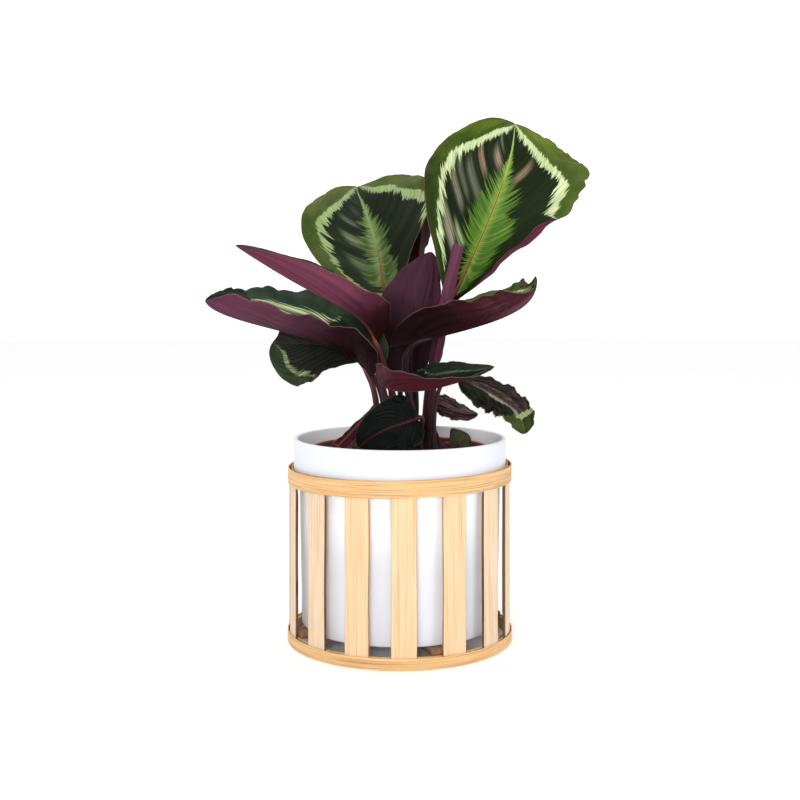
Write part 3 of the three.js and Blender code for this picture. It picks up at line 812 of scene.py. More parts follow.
def make_stand():
    front = bamboo_material("bamboo_face", (237, 201, 164), (225, 184, 139), (180, 128, 84))
    # Slats away from the front: a paler, pinker copy of the face colour, as painted side light.
    side = bamboo_material("bamboo_face_painted_side_light", (230, 208, 178), (216, 188, 155), (174, 132, 98))
    pale = bamboo_material("bamboo_cut_pale", (196, 156, 114), (170, 126, 88), (128, 86, 58))
    # Cut sides of slats away from the front: darker bamboo, with the shade inside the stand painted in.
    dark = bamboo_material("bamboo_cut_side_dark_and_painted_shade", (120, 84, 60), (88, 58, 42), (60, 38, 28))
    hoop = bamboo_material("bamboo_hoop", (230, 192, 140), (210, 164, 108), (134, 86, 48), 1.3)
    # Strips under the planter: a darker brown copy of the bamboo, with the shade under the planter painted
    # in.
    under = bamboo_material("bamboo_base_painted_shade", (150, 112, 80), (110, 74, 52), (70, 44, 34))
    stick = HOOP_STICK
    for part, outer, low, height, back in (
        ("top", HOOP_TOP_RADIUS, HOOP_TOP_LOW, HOOP_TOP_HEIGHT, TOP_BACK),
        ("bottom", HOOP_BOTTOM_RADIUS, 0.0, HOOP_BOTTOM_HEIGHT, BOTTOM_BACK),
    ):
        make_hoop(f"hoop_{part}_outer", outer, BAND, low, height, hoop, stick)
        inside = outer - BAND - SLAT_THICKNESS - 2 * GAP
        make_hoop(f"hoop_{part}_inner", inside, back, low, height, hoop, stick + 1)
        stick += 2
    for number in range(SLAT_COUNT):
        central = number in FRONT_SLATS
        make_slat(number, front if central else side, pale if central else dark)
    make_strip("base_strip_low", STRIP_ANGLE, False, under, STRIP_STICK)
    make_strip("base_strip_high", STRIP_ANGLE + 90, True, under, STRIP_STICK + 1)


# Leaves. Curves of markings run from the base of the rib to its tip and give the share of the half width, for
# the left half and the right half; above 1 there is none. Other pairs go by half too.

NONE = [(0, 1.15), (1, 1.15)]
FLAT = [(0, 0), (1, 0)]
PLAIN_INNER = [(0, 0.9), (0.2, 0.8), (0.4, 0.7), (0.6, 0.56), (0.8, 0.33), (1, 0.06)]
PLAIN_OUTER = [(0, 0.94), (0.2, 0.87), (0.4, 0.79), (0.6, 0.68), (0.8, 0.45), (1, 0.12)]
PLAIN_PLUME = [(0, 0.3), (0.1, 0.25), (0.3, 0.16), (0.5, 0.08), (0.75, 0.02), (1, 0)]

# What leaves have in common. ruffle, rag: fine wave and unevenness of the edge. pleat, furrow: height of the
# folds between side veins and of those along the rib. skin: the look of the stem.
COMMON = dict(
    slot="leaf_green", rag=0, ruffle=(0.4, 0.4), bumps=[], sag=0, skin="dark", pleat=0.22, furrow=0,
    furrows=4.5, veins=18, roll=None, mouth=0, shine=0.08, relief=0.45, jag=0.06,
    ring_inner=[PLAIN_INNER] * 2, ring_outer=[PLAIN_OUTER] * 2, plume=[PLAIN_PLUME] * 2,
    dark=((20, 29, 13), (20, 31, 10)), dark_stripe=((40, 51, 27), (34, 48, 18)), streaks=[],
    border=(32, 49, 6), border_light=(97, 117, 42), border_right=0.3, plume_edge=(84, 116, 42),
    plume_heart=(122, 156, 66), pale=(158, 178, 120), pale_light=(212, 222, 176), rib_tint=(134, 156, 80),
    rib_base=(128, 72, 44), rib_turn=(0.2, 0.45), rib_wide=0.8, edge=(92, 70, 48), under_tip=(96, 48, 62),
    under_base=(58, 28, 36), under_turn=(0.1, 0.7), under_rib=(98, 58, 52), under_rib_wide=0.6,
    under_edge=(132, 104, 98), under_edge_share=0.6, under_shine=0.05, ridges=0, ridge_tint=(128, 84, 92),
    broken=0.1, barbs=0.06, creases=0, crease_tint=(34, 26, 25), curl=[(0, 0, 0)] * 2, lobe=0,
    shape=(0.8, 0.6),
)

BARE = dict(ring_inner=[NONE] * 2, ring_outer=[NONE] * 2, plume=[FLAT] * 2)

# What each leaf has besides. foot, stem, rib, face, width, fold, curl, lobe, shape and wave are those of the
# part's source. mesh: rows and columns. streaks: half, place on the rib, width, start, end and colour.
# bumps: half, place on the rib, spread and length.
LEAVES = {
    "tall_right": dict(
        mesh=(190, 150), foot=(20, 24), stem=3,
        rib=[(43, 17, 262), (89, 53, 353), (88, 50, 374), (92, 76, 395)],
        face=[(-0.36, -0.86, -0.37), (0.35, -0.05, 0.88)], width=(61, 65), fold=[(51, 1, 6), (35, -1, 8)],
        curl=[(27, 1, 0), (51, 28, 5)], lobe=13, wave=(1.5, 3, 0.35), skin="warm",
        roll=(0, 0.2, 0.23, 0.29, 8), under_tip=(124, 52, 86), under_base=(88, 38, 56),
        under_edge=(160, 128, 136), rib_tint=(146, 166, 84), rib_base=(140, 66, 34), rib_wide=1.1,
        barbs=0.1, rib_turn=(0.4, 0.5), ruffle=(0.5, 1.8),
        bumps=[(1, 0.93, 0.03, -1), (1, 0.84, 0.07, -3.2), (1, 0.75, 0.04, -2.2), (1, 0.58, 0.05, 2.8),
               (1, 0.475, 0.02, 2.5), (1, 0.44, 0.02, -3.5)],
        ring_inner=[
            [(0, 0.78), (0.15, 0.74), (0.3, 0.715), (0.45, 0.67), (0.55, 0.66), (0.65, 0.5), (0.75, 0.37),
             (0.83, 0.22), (0.9, 0.13), (1, 0)],
            [(0, 1.15), (0.27, 1.15), (0.31, 0.74), (0.37, 0.71), (0.45, 0.7), (0.52, 0.6), (0.58, 0.45),
             (0.65, 0.33), (0.72, 0.28), (0.8, 0.17), (0.9, 0.1), (1, 0.02)],
        ],
        ring_outer=[
            [(0, 0.8), (0.1, 0.82), (0.3, 0.79), (0.5, 0.8), (0.57, 0.77), (0.65, 0.7), (0.72, 0.58),
             (0.82, 0.46), (0.88, 0.34), (0.94, 0.16), (1, 0.03)],
            [(0, 1.15), (0.27, 1.15), (0.31, 0.83), (0.4, 0.81), (0.48, 0.78), (0.55, 0.68), (0.62, 0.55),
             (0.7, 0.47), (0.8, 0.38), (0.86, 0.29), (0.93, 0.2), (1, 0.1)],
        ],
        plume=[
            [(0, 0.1), (0.06, 0.14), (0.12, 0.26), (0.17, 0.3), (0.26, 0.28), (0.32, 0.2), (0.36, 0.14),
             (0.46, 0.12), (0.52, 0.06), (0.6, 0.02), (1, 0)],
            [(0, 0.5), (0.08, 0.52), (0.13, 0.42), (0.2, 0.4), (0.26, 0.32), (0.29, 0.2), (0.34, 0.22),
             (0.39, 0.2), (0.43, 0.1), (0.5, 0.06), (0.6, 0.03), (0.75, 0.015), (1, 0)],
        ],
        plume_edge=(66, 100, 32), plume_heart=(122, 154, 64),
        streaks=[(0, 0.47, 0.06, 0.02, 0.3, (150, 134, 112)), (0, 0.56, 0.03, 0.05, 0.6, (96, 104, 86)),
                 (0, 0.332, 0.03, 0.18, 0.55, (142, 118, 96)), (0, 0.25, 0.03, 0.15, 0.6, (104, 108, 88)),
                 (0, 0.2, 0.02, 0.3, 0.75, (86, 92, 72)), (0, 0.163, 0.02, 0.35, 0.75, (120, 122, 98)),
                 (0, 0.093, 0.024, 0.4, 0.78, (146, 144, 118)),
                 (0, 0.118, 0.016, 0.2, 0.55, (150, 164, 122)),
                 (1, 0.395, 0.045, 0.04, 0.36, (134, 116, 92)), (1, 0.6, 0.02, 0.1, 0.3, (86, 86, 66))],
    ),
    "tall_left": dict(
        mesh=(170, 100), foot=(-6, 30), stem=2.6,
        rib=[(-12, 35, 266), (-21, 35, 325), (-37, 70, 340), (-34, 84, 346)],
        face=[(-0.42, -0.63, 0.02), (-0.26, -0.79, 0.55)], width=(53, 55),
        fold=[(31, 25, 15), (36, -10, 13)], wave=(1.5, 3, 0.3),
        bumps=[(1, 0.15, 0.08, -4.5), (0, 0.86, 0.03, -1.5), (1, 0.86, 0.03, -1.2), (1, 0.93, 0.03, 1)],
        sag=9, skin="warm", rib_wide=1, barbs=0.09,
        ring_inner=[
            [(0, 0.8), (0.1, 0.77), (0.2, 0.74), (0.3, 0.7), (0.4, 0.67), (0.47, 0.6), (0.52, 0.55),
             (0.58, 0.4), (0.64, 0.3), (0.7, 0.2), (0.8, 0.1), (0.9, 0.04), (1, 0)],
            [(0, 1.1), (0.2, 1), (0.25, 0.93), (0.33, 0.88), (0.37, 0.76), (0.43, 0.6), (0.5, 0.53),
             (0.57, 0.45), (0.62, 0.3), (0.7, 0.2), (0.8, 0.15), (0.9, 0.12), (1, 0.05)],
        ],
        ring_outer=[
            [(0, 0.92), (0.06, 0.86), (0.15, 0.8), (0.3, 0.8), (0.45, 0.77), (0.52, 0.76), (0.58, 0.62),
             (0.64, 0.5), (0.7, 0.36), (0.78, 0.28), (0.9, 0.17), (1, 0.05)],
            [(0, 1.1), (0.2, 1), (0.27, 0.97), (0.35, 0.91), (0.42, 0.88), (0.47, 0.75), (0.55, 0.62),
             (0.64, 0.6), (0.7, 0.5), (0.76, 0.3), (0.85, 0.25), (0.93, 0.22), (1, 0.1)],
        ],
        plume=[
            [(0, 0.5), (0.08, 0.42), (0.13, 0.3), (0.18, 0.24), (0.26, 0.2), (0.3, 0.13), (0.4, 0.1),
             (0.45, 0.05), (0.55, 0.02), (1, 0.01)],
            [(0, 0.9), (0.06, 0.8), (0.11, 0.5), (0.16, 0.32), (0.22, 0.22), (0.3, 0.2), (0.35, 0.14),
             (0.4, 0.07), (0.5, 0.05), (0.65, 0.02), (1, 0)],
        ],
        plume_edge=(60, 80, 38), plume_heart=(118, 138, 84), dark=((23, 31, 19), (16, 24, 10)),
        dark_stripe=((52, 62, 42), (32, 42, 24)), border=(54, 70, 24), border_light=(98, 112, 56),
        border_right=0, pale=(122, 142, 92), pale_light=(154, 170, 118), rib_tint=(122, 140, 84),
        rib_turn=(0.15, 0.25),
        streaks=[(0, 0.2, 0.035, 0.08, 0.5, (112, 124, 92)), (0, 0.3, 0.03, 0.12, 0.45, (84, 96, 76)),
                 (0, 0.11, 0.03, 0.15, 0.6, (90, 104, 72)), (0, 0.42, 0.05, 0.05, 0.25, (78, 90, 68))],
    ),
    "folded_left_high": dict(
        mesh=(150, 80), foot=(1, -15), stem=2.6,
        rib=[(-17, -26, 223), (-28, -42, 254), (-38, -68, 244), (-110, -84, 292)],
        face=[(0.17, 0.42, -0.16), (-0.08, 0.42, 0.9)], width=(25, 37), fold=[(64, -10, 71), (45, 58, 54)],
        curl=[(33, 20, 86), (28, 48, 48)], lobe=3, shape=(0.75, 0.62), wave=(1.5, 5, 0.2),
        slot="leaf_maroon", dark=((34, 44, 32), (38, 52, 36)), border=(38, 54, 34),
        border_light=(58, 70, 50), under_tip=(97, 49, 66), under_base=(38, 14, 17), under_turn=(0.12, 0.66),
        under_edge_share=0.3, skin="warm", ruffle=(0.3, 0.5), veins=8, pleat=0.55,
    ),
    "folded_left_low": dict(
        mesh=(160, 90), foot=(-17, -12), stem=2.4,
        rib=[(-25, -17, 204), (-41, -15, 232), (-130, -43, 237), (-136, -52, 255)],
        face=[(-0.06, -0.3, 0.78), (0.14, -0.07, 0.86)], width=(41, 45), fold=[(53, 24, 45), (49, 32, 35)],
        curl=[(33, 17, 42), (0, 0, 0)], lobe=6, shape=(0.75, 0.62), wave=(2, 5, 0), slot="leaf_maroon",
        ring_inner=[
            PLAIN_INNER,
            [(0, 1.1), (0.2, 0.9), (0.32, 0.46), (0.4, 0.43), (0.5, 0.46), (0.6, 0.53), (0.66, 0.66),
             (0.7, 1.1), (1, 1.1)],
        ],
        ring_outer=[
            PLAIN_OUTER,
            [(0, 1.1), (0.2, 0.9), (0.28, 0.6), (0.32, 0.55), (0.4, 0.57), (0.5, 0.62), (0.6, 0.66),
             (0.66, 0.67), (0.7, 1.1), (1, 1.1)],
        ],
        dark=((18, 29, 20), (20, 33, 22)), dark_stripe=((40, 56, 40), (42, 60, 42)), border=(22, 40, 24),
        border_light=(52, 70, 52), jag=0.1, broken=0.9, ruffle=(0.5, 1.2), veins=10, pleat=0.4, skin="warm",
        under_tip=(92, 50, 68), under_base=(28, 11, 15), under_turn=(0.15, 0.8),
    ),
    "low_left": dict(
        mesh=(120, 80), foot=(-10, -2), stem=2,
        rib=[(-29, -8, 210), (-53, 1, 229), (-89, -5, 220), (-94, 2, 225)],
        face=[(0.14, -0.56, 0.73), (-0.11, -0.91, 0.01)], width=(37, 38), fold=[(20, 10, -4), (10, 11, 0)],
        wave=(1.5, 4, 0.4),
        ring_inner=[
            [(0, 1.1), (0.25, 1), (0.33, 0.88), (0.4, 0.78), (0.5, 0.69), (0.6, 0.61), (0.68, 0.49),
             (0.74, 0.26), (0.8, 0.2), (1, 0.1)],
            NONE,
        ],
        ring_outer=[
            [(0, 1.1), (0.25, 1), (0.33, 0.92), (0.4, 0.87), (0.5, 0.8), (0.6, 0.73), (0.68, 0.66),
             (0.74, 0.53), (0.8, 0.26), (1, 0.12)],
            NONE,
        ],
        plume=[FLAT] * 2, dark=((29, 30, 27), (33, 34, 31)), dark_stripe=[(50, 52, 44)] * 2,
        border=(36, 50, 30), border_light=(58, 72, 50), pale=(96, 108, 72), pale_light=(168, 176, 130),
        rib_tint=(44, 46, 40), rib_base=(60, 38, 40), edge=(44, 46, 38), pleat=0.6, broken=0.5,
        under_tip=(66, 36, 46),
    ),
    "upright_middle": dict(
        mesh=(110, 70), foot=(9, 9), stem=3.2, rib=[(11, 11, 188), (3, 0, 232), (24, 4, 263), (23, 3, 291)],
        face=[(0.2, 0.93, 0.1), (0, 1, 0.1)], width=(16, 34), fold=[(7, 24, 20), (12, 6, 17)],
        curl=[(7, 5, 0), (10, 25, 22)], shape=(0.82, 0.6), wave=(1, 4, 0.1), slot="leaf_maroon",
        skin="deep", under_tip=(70, 40, 54), under_base=(34, 17, 23), under_turn=(0.3, 0.7),
        under_rib_wide=0, under_rib=(66, 38, 50), under_edge_share=0.15, furrow=0.9, furrows=1.7,
        pleat=0.08,
    ),
    # Its upper side, inside the roll, is painted dark maroon, with the shade inside the roll painted in.
    "rolled_young": dict(
        BARE,
        mesh=(120, 80), foot=(22, -3), stem=5,
        rib=[(25, -11, 205), (29, -12, 228), (33, -14, 250), (43, -13, 295)], face=[(0, 1, 0)] * 2,
        width=(13, 13), fold=[(0, 0, 0)] * 2, curl=[(160, 165, 165)] * 2, shape=(0.8, 0.15),
        wave=(0.6, 3, 0.2), slot="leaf_maroon", under_tip=(108, 62, 83), under_base=(70, 32, 46),
        under_turn=(0.2, 0.8), under_rib_wide=0, under_rib=(96, 54, 76), dark=[(96, 50, 70)] * 2,
        dark_stripe=[(70, 36, 50)] * 2, mouth=1, edge=(120, 76, 96),
    ),
    # Its underside colours are painted very dark, with the shade under the leaves above painted in.
    "raised_right": dict(
        mesh=(160, 90), foot=(15, -16), stem=2.6,
        rib=[(17, -24, 226), (72, -36, 241), (99, -58, 249), (93, -69, 272)],
        face=[(0.3, 0.24, 0.92), (-0.12, -0.37, 0.32)], width=(27, 34), fold=[(94, 49, 44), (48, 22, 75)],
        curl=[(17, 13, 16), (18, 7, 38)], lobe=26, shape=(0.75, 0.62), wave=(1.5, 5, 0.3),
        slot="leaf_maroon", skin="deep", under_tip=(63, 28, 35), under_base=(29, 14, 18),
        under_turn=(0.05, 0.5), under_rib_wide=0, under_rib=(60, 28, 34), under_edge_share=0.35, ridges=0.4,
        ridge_tint=(118, 80, 86), furrow=0.5, furrows=3.5, dark=[(44, 56, 30)] * 2, border=(58, 76, 38),
    ),
    "low_front": dict(
        mesh=(130, 90), foot=(-4, -20), stem=2.6,
        rib=[(-15, -31, 200), (-11, -50, 183), (40, -65, 195), (66, -49, 209)],
        face=[(0.21, 0.02, 0.89), (-0.14, -0.26, 1.02)], width=(32, 27), fold=[(5, 25, 13), (44, 27, 11)],
        curl=[(0, 0, 0), (26, 13, 0)], lobe=2, shape=(0.75, 0.62), wave=(1, 4, 0.1), slot="leaf_maroon",
        ring_inner=[
            [(0, 1.1), (0.4, 0.9), (0.55, 0.5), (0.65, 0.46), (0.75, 0.42), (0.85, 0.3), (1, 0.1)],
            NONE,
        ],
        ring_outer=[
            [(0, 1.1), (0.4, 0.94), (0.55, 0.56), (0.65, 0.55), (0.75, 0.52), (0.85, 0.4), (1, 0.16)],
            NONE,
        ],
        plume=[FLAT] * 2, dark=[(18, 23, 19)] * 2, dark_stripe=[(38, 46, 38)] * 2, border=(28, 38, 30),
        border_light=(44, 56, 44), pale=(52, 62, 50), pale_light=(126, 136, 112), broken=0.6,
        edge=(80, 78, 66), under_tip=(66, 28, 35), under_base=(72, 32, 41),
    ),
    "dried_right": dict(
        mesh=(150, 90), foot=(25, -14), stem=1.6,
        rib=[(43, -20, 198), (81, -22, 182), (89, -44, 173), (89, -42, 160)],
        face=[(0.31, -0.71, 0.55), (0.38, -0.73, 0.42)], width=(16, 19), fold=[(-1, -1, 5), (-10, 11, 2)],
        wave=(1.6, 6, 0.2), slot="leaf_dry",
        ring_inner=[
            [(0, 1.15), (0.56, 1.15), (0.62, 0.5), (0.66, 0), (1, 0)],
            [(0, 1.15), (0.6, 1.15), (0.64, 0.3), (0.67, 0), (1, 0)],
        ],
        ring_outer=[
            [(0, 1.15), (0.6, 1.15), (0.68, 0.7), (0.73, 0.1), (0.76, 0), (1, 0)],
            [(0, 1.15), (0.6, 1.15), (0.64, 0.35), (0.7, 0.1), (0.72, 0), (1, 0)],
        ],
        plume=[
            [(0, 0), (0.2, 0.02), (0.5, 0.04), (0.6, 0.08), (0.7, 0), (1, 0)],
            [(0, 0), (0.2, 0.03), (0.28, 0.16), (0.36, 0.2), (0.42, 0.08), (0.5, 0.04), (0.65, 0.1),
             (0.7, 0), (1, 0)],
        ],
        jag=0.05, dark=((62, 51, 48), (28, 36, 27)), dark_stripe=((126, 112, 104), (46, 55, 43)),
        border=(44, 56, 24), border_light=(68, 82, 40), pale=(120, 134, 84), pale_light=(184, 194, 140),
        plume_edge=(70, 76, 58), plume_heart=(158, 163, 134), creases=0.85, rib_tint=(118, 104, 90),
        rib_base=(104, 88, 80), rib_wide=0.5, edge=(96, 90, 82), furrow=1.2, furrows=3.2, pleat=0.5,
        rag=0.015, ruffle=(0.7, 0.6), under_tip=(66, 52, 48), under_base=(50, 40, 38),
    ),
    "small_brown": dict(
        BARE,
        mesh=(110, 60), foot=(31, 6), stem=1.3,
        rib=[(26, 14, 177), (33, 14, 177), (43, 14, 168), (60, 18, 168)],
        face=[(-0.06, -0.66, 0.74), (0.04, -0.61, 0.79)], width=(12, 12), fold=[(4, 3, -1), (-1, 8, -2)],
        lobe=2, wave=(0.8, 4, 0.1), slot="leaf_dry", dark=((102, 84, 81), (76, 52, 54)),
        dark_stripe=((142, 124, 119), (104, 78, 76)), rib_tint=(112, 90, 84), rib_base=(90, 60, 58),
        edge=(80, 64, 62), furrow=1.3, furrows=1.6, pleat=0.3, rag=0.03, creases=0.9,
        crease_tint=(32, 22, 23), under_tip=(64, 44, 44), under_base=(50, 32, 34),
    ),
    "base_dark": dict(
        BARE,
        mesh=(110, 70), foot=(10, -28), stem=2,
        rib=[(12, -42, 171), (5, -42, 167), (-14, -41, 166), (-29, -40, 150)],
        face=[(-0.3, -0.9, 0.25), (-0.21, -1.02, -0.06)], width=(20, 21), fold=[(12, 4, -1), (6, 8, -1)],
        lobe=8, shape=(0.62, 0.45), wave=(1, 4, 0.3), dark=((9, 12, 11), (9, 11, 11)),
        dark_stripe=((18, 23, 20), (18, 22, 21)), rib_tint=(62, 26, 32), rib_base=(82, 26, 32),
        rib_wide=1.2, edge=(52, 54, 46), under_tip=(52, 26, 32), under_base=(44, 22, 28), rag=0.03, sag=-6,
        furrow=0.5, furrows=1.2,
    ),
    "base_left": dict(
        mesh=(90, 30), foot=(-12, -26), stem=1.5,
        rib=[(-20, -30, 177), (-42, -35, 150), (-53, -39, 145), (-44, -40, 150)],
        face=[(0.5, 0.8, -0.3), (0.4, 0.9, -0.1)], width=(5, 6), fold=[(25, 14, 20), (19, 20, 20)],
        wave=(0.5, 3, 0.2), slot="leaf_maroon", under_tip=(64, 24, 34), under_base=(52, 20, 28),
        under_edge=(150, 110, 84),
    ),
    "base_olive": dict(
        BARE,
        mesh=(60, 40), foot=(41, 20), stem=1.1,
        rib=[(45, 20, 143), (44, 20, 148), (41, 20, 153), (40, 21, 157)], face=[(0, -1, 0.3)] * 2,
        width=(6, 11), fold=[(10, 10, 10)] * 2, lobe=3, shape=(0.5, 0.8), wave=(1.2, 3, 0.2),
        dark=((66, 67, 46), (76, 77, 54)), dark_stripe=((86, 88, 64), (92, 94, 70)), rib_tint=(84, 74, 52),
        rib_base=(100, 50, 40), edge=(92, 44, 38), under_tip=(70, 60, 44), under_base=(60, 40, 34),
    ),
    # Its underside colours are painted very dark, with the shadow of the leaves in front painted in.
    "upright_back": dict(
        mesh=(100, 60), foot=(9, 30), stem=2.4,
        rib=[(12, 43, 255), (15, 48, 293), (16, 55, 307), (22, 64, 337)],
        face=[(-0.54, 0.68, 0.13), (-0.19, 0.85, 0.04)], width=(22, 19), fold=[(17, 37, 13), (11, 9, 15)],
        curl=[(11, 24, 9), (7, 6, 10)], wave=(1, 4, 0.2), slot="leaf_maroon", under_tip=(44, 22, 24),
        under_base=(46, 24, 28), under_rib_wide=0.2, under_edge_share=0.2,
    ),
    "spear": dict(
        mesh=(60, 40), foot=(-1, 18), stem=2, rib=[(3, 19, 250), (3, 19, 262), (3, 19, 275), (3, 19, 287)],
        face=[(0, 1, 0)] * 2, width=(5, 5), fold=[(0, 0, 0)] * 2, curl=[(150, 150, 150)] * 2,
        shape=(0.8, 0.25), wave=(0, 1, 0), slot="leaf_maroon", under_tip=(120, 82, 92),
        under_base=(86, 52, 62), under_rib_wide=0, mouth=0.4, edge=(196, 172, 160),
    ),
}


def through(values, u):
    """Value at u of a curve through three values, at the base, the middle and the tip."""
    base, middle, tip = values
    return base * (1 - u) * (1 - 2 * u) + 4 * middle * u * (1 - u) + tip * u * (2 * u - 1)


def smooth(low, high, value):
    t = np.clip((value - low) / (high - low), 0, 1)
    return t * t * (3 - 2 * t)


def bezier(p, t):
    """Points at t of a curve with four controls."""
    v = 1 - t
    return v**3 * p[0] + 3 * v * v * t * p[1] + 3 * v * t * t * p[2] + t**3 * p[3]


def rib_point(leaf, u):
    """Points and directions of the midrib."""
    u = np.atleast_1d(np.asarray(u, float))[:, None]
    p = np.asarray(leaf["rib"], float)
    v = 1 - u
    along = 3 * v * v * (p[1] - p[0]) + 6 * v * u * (p[2] - p[1]) + 3 * u * u * (p[3] - p[2])
    return bezier(p, u), along / np.linalg.norm(along, axis=1, keepdims=True)


def blade_points(leaf, u, s):
    """Middle of the blade, the way its upper side looks, how far it is from rib and margin, and its share.

    The margin of the right half rolls over the upper side where the leaf has a roll.
    """
    point, along = rib_point(leaf, u)
    first, last = np.asarray(leaf["face"], float)
    up = first * (1 - u[:, None]) + last * u[:, None]
    up -= along * (up * along).sum(1, keepdims=True)
    up /= np.linalg.norm(up, axis=1, keepdims=True)
    across = np.cross(along, up)
    right = s >= 0
    sign = np.where(right, 1.0, -1.0)
    start, power = leaf["shape"]
    profile = np.sin(np.pi * u**start) ** power
    number = 7.0 * leaf["stem"] + right * 2.0
    nicks = np.sin(31 * u + number) * np.sin(47 * u + 2 * number) + 0.6 * np.sin(83 * u + 3 * number)
    width = np.where(right, leaf["width"][1], leaf["width"][0]) * profile
    spare = np.zeros_like(u)
    if leaf["roll"]:
        begin, full, fade, end, length = leaf["roll"]
        window = smooth(begin, full, u) * (1 - smooth(fade, end, u))
        spare = np.where(right, window * (math.pi * ROLL_RADIUS + length), 0.0)
    reach = np.abs(s) * (width + spare)
    over = np.clip(reach - width, 0, None)
    a = np.clip(reach / np.maximum(width, 1e-6), 0, 1)
    nip = 1 - leaf["rag"] * 0.5 * (1 + nicks) * a**3
    fold, curl = (np.radians(np.where(right, through(leaf[key][1], u), through(leaf[key][0], u)))
                  for key in ("fold", "curl"))
    mouth = leaf["mouth"] * smooth(0.86, 1.0, u)
    curl = np.where(np.abs(curl) < 1e-6, 1e-4, curl) * (1 - 0.28 * mouth)
    turn = fold + curl * a
    out = width * nip / curl * (np.sin(turn) - np.sin(fold))
    rise = width * nip / curl * (np.cos(fold) - np.cos(turn))
    outward = across * (sign * np.cos(turn))[:, None] + up * np.sin(turn)[:, None]
    normal = across * (-sign * np.sin(turn))[:, None] + up * np.cos(turn)[:, None]
    height, waves, phase = leaf["wave"]
    lift = height * a * a * profile * np.sin(2 * np.pi * (waves * u + phase + 0.31 * right))
    ruffle = np.where(right, leaf["ruffle"][1], leaf["ruffle"][0])
    beat = 2 * np.pi * (2.7 * waves * u + 1.7 * phase + 0.6 * right)
    lift += ruffle * a**4 * profile * np.sin(beat + nicks)
    room = np.clip(a * 6, 0, 1) * np.clip((1 - a) * 3 + 0.35, 0, 1) * profile
    lift += leaf["pleat"] * room * np.sin(2 * np.pi * leaf["veins"] * vein_of(u, a, np.exp))
    beat = 2 * np.pi * leaf["furrows"] * s + 1.1 * np.sin(5 * u)
    lift += leaf["furrow"] * profile * np.cos(beat) * np.clip(a * 4, 0, 1)
    point = point + across * (sign * out)[:, None] + up * rise[:, None]
    point -= along * ((leaf["lobe"] + leaf["sag"]) * a * a * (1 - u) ** 3)[:, None]
    point += along * (mouth * (1.5 * np.sin(2.6 * s + 0.6) + 0.35 * np.sin(17 * s)))[:, None]
    point += normal * lift[:, None]
    bend = np.clip(over / ROLL_RADIUS, 0, math.pi)
    back = np.clip(over - math.pi * ROLL_RADIUS, 0, None)
    point += outward * (ROLL_RADIUS * np.sin(bend) - back)[:, None]
    point += normal * (ROLL_RADIUS * (1 - np.cos(bend)) + 0.12 * back)[:, None]
    for side, place, spread, length in leaf["bumps"]:
        swell = length * np.exp(-(((u - place) / spread) ** 2)) * a**4
        point += outward * np.where(right == bool(side), swell, 0.0)[:, None]
    normal = normal * np.cos(bend)[:, None] - outward * np.sin(bend)[:, None]
    return point, normal, reach, width + spare - reach, a


def blade_mesh(leaf):
    """Points, faces, face materials and attributes of a thin closed blade with a raised rib below."""
    rows, columns = leaf["mesh"]
    u = 0.5 - 0.4995 * np.cos(np.pi * np.linspace(0, 1, rows))
    s = np.linspace(-1, 1, columns + 1)
    uu, ss = (grid.ravel() for grid in np.meshgrid(u, s, indexing="ij"))
    middle, normal, away, inset, share = blade_points(leaf, uu, ss)
    thin = BLADE * (0.55 + 0.45 * np.clip(inset / 6, 0, 1))
    rib = (1 - uu) ** 0.7 * np.exp(-((away / 1.4) ** 2)) * min(leaf["stem"] * 0.5, 1.2)
    groove = 0.3 * (1 - uu) * np.exp(-((away / 1.0) ** 2))
    top = middle + normal * (thin / 2 - groove)[:, None]
    bottom = middle - normal * (thin / 2 + rib)[:, None]
    columns += 1
    count = rows * columns
    faces = grid_faces(rows, columns) + grid_faces(rows, columns, count, flip=True)
    kinds = [0] * (len(faces) // 2) + [1] * (len(faces) // 2)
    rim = [i * columns for i in range(rows)] + [(rows - 1) * columns + k for k in range(1, columns)]
    rim += [i * columns + columns - 1 for i in range(rows - 2, -1, -1)] + list(range(columns - 2, 0, -1))
    for k, a in enumerate(rim):
        b = rim[(k + 1) % len(rim)]
        faces.append((a, b, b + count, a + count))
        kinds.append(2)
    half = (ss >= 0).astype(float)
    place = np.stack([uu, np.where(ss < 0, -1, 1) * share, half], 1)
    reach = np.stack([away, inset, 0 * away], 1)
    return np.vstack([top, bottom]), faces, kinds, np.vstack([place, place]), np.vstack([reach, reach])


def stem_mesh(leaf, start):
    """Points, faces and attribute of the stem: straight in its hole, then one curve up to the blade."""
    x, y = leaf["foot"]
    neck = np.array([x, y, SOIL_TOP + 3.0])
    base, toward = (v[0] for v in rib_point(leaf, 0.0))
    reach = STEM_ARCH * np.linalg.norm(neck - base)
    controls = [neck, neck + [0, 0, reach], base - toward * reach, base]
    t = np.linspace(0, 1, STEM_STEPS)[:, None]
    curve = bezier(controls, t)
    inside = rib_point(leaf, np.linspace(0.02, 0.1, 5))[0]
    low = [[x, y, z] for z in (SOIL_TOP - HOLE_DEPTH, SOIL_TOP - 6, SOIL_TOP)]
    path = np.vstack([low, curve, inside])
    share = np.concatenate([np.ones(3), 1.18 - 0.43 * t[:, 0] ** 1.5, np.linspace(0.66, 0.25, 5)])
    swell = np.concatenate([np.zeros(3), 0.12 * np.exp(-(((t[:, 0] - 0.93) / 0.05) ** 2)), np.zeros(5)])
    points, faces = tube(path, leaf["stem"] * (share + swell), STEM_SIDES, start, 0.06)
    up = np.repeat(np.linspace(0, 1, len(path)), STEM_SIDES)
    turn = np.tile(np.abs(np.linspace(-1, 1, STEM_SIDES, endpoint=False)), len(path))
    return points, faces, np.stack([up, turn, np.full(len(up), leaf["stem"] * 3)], 1)


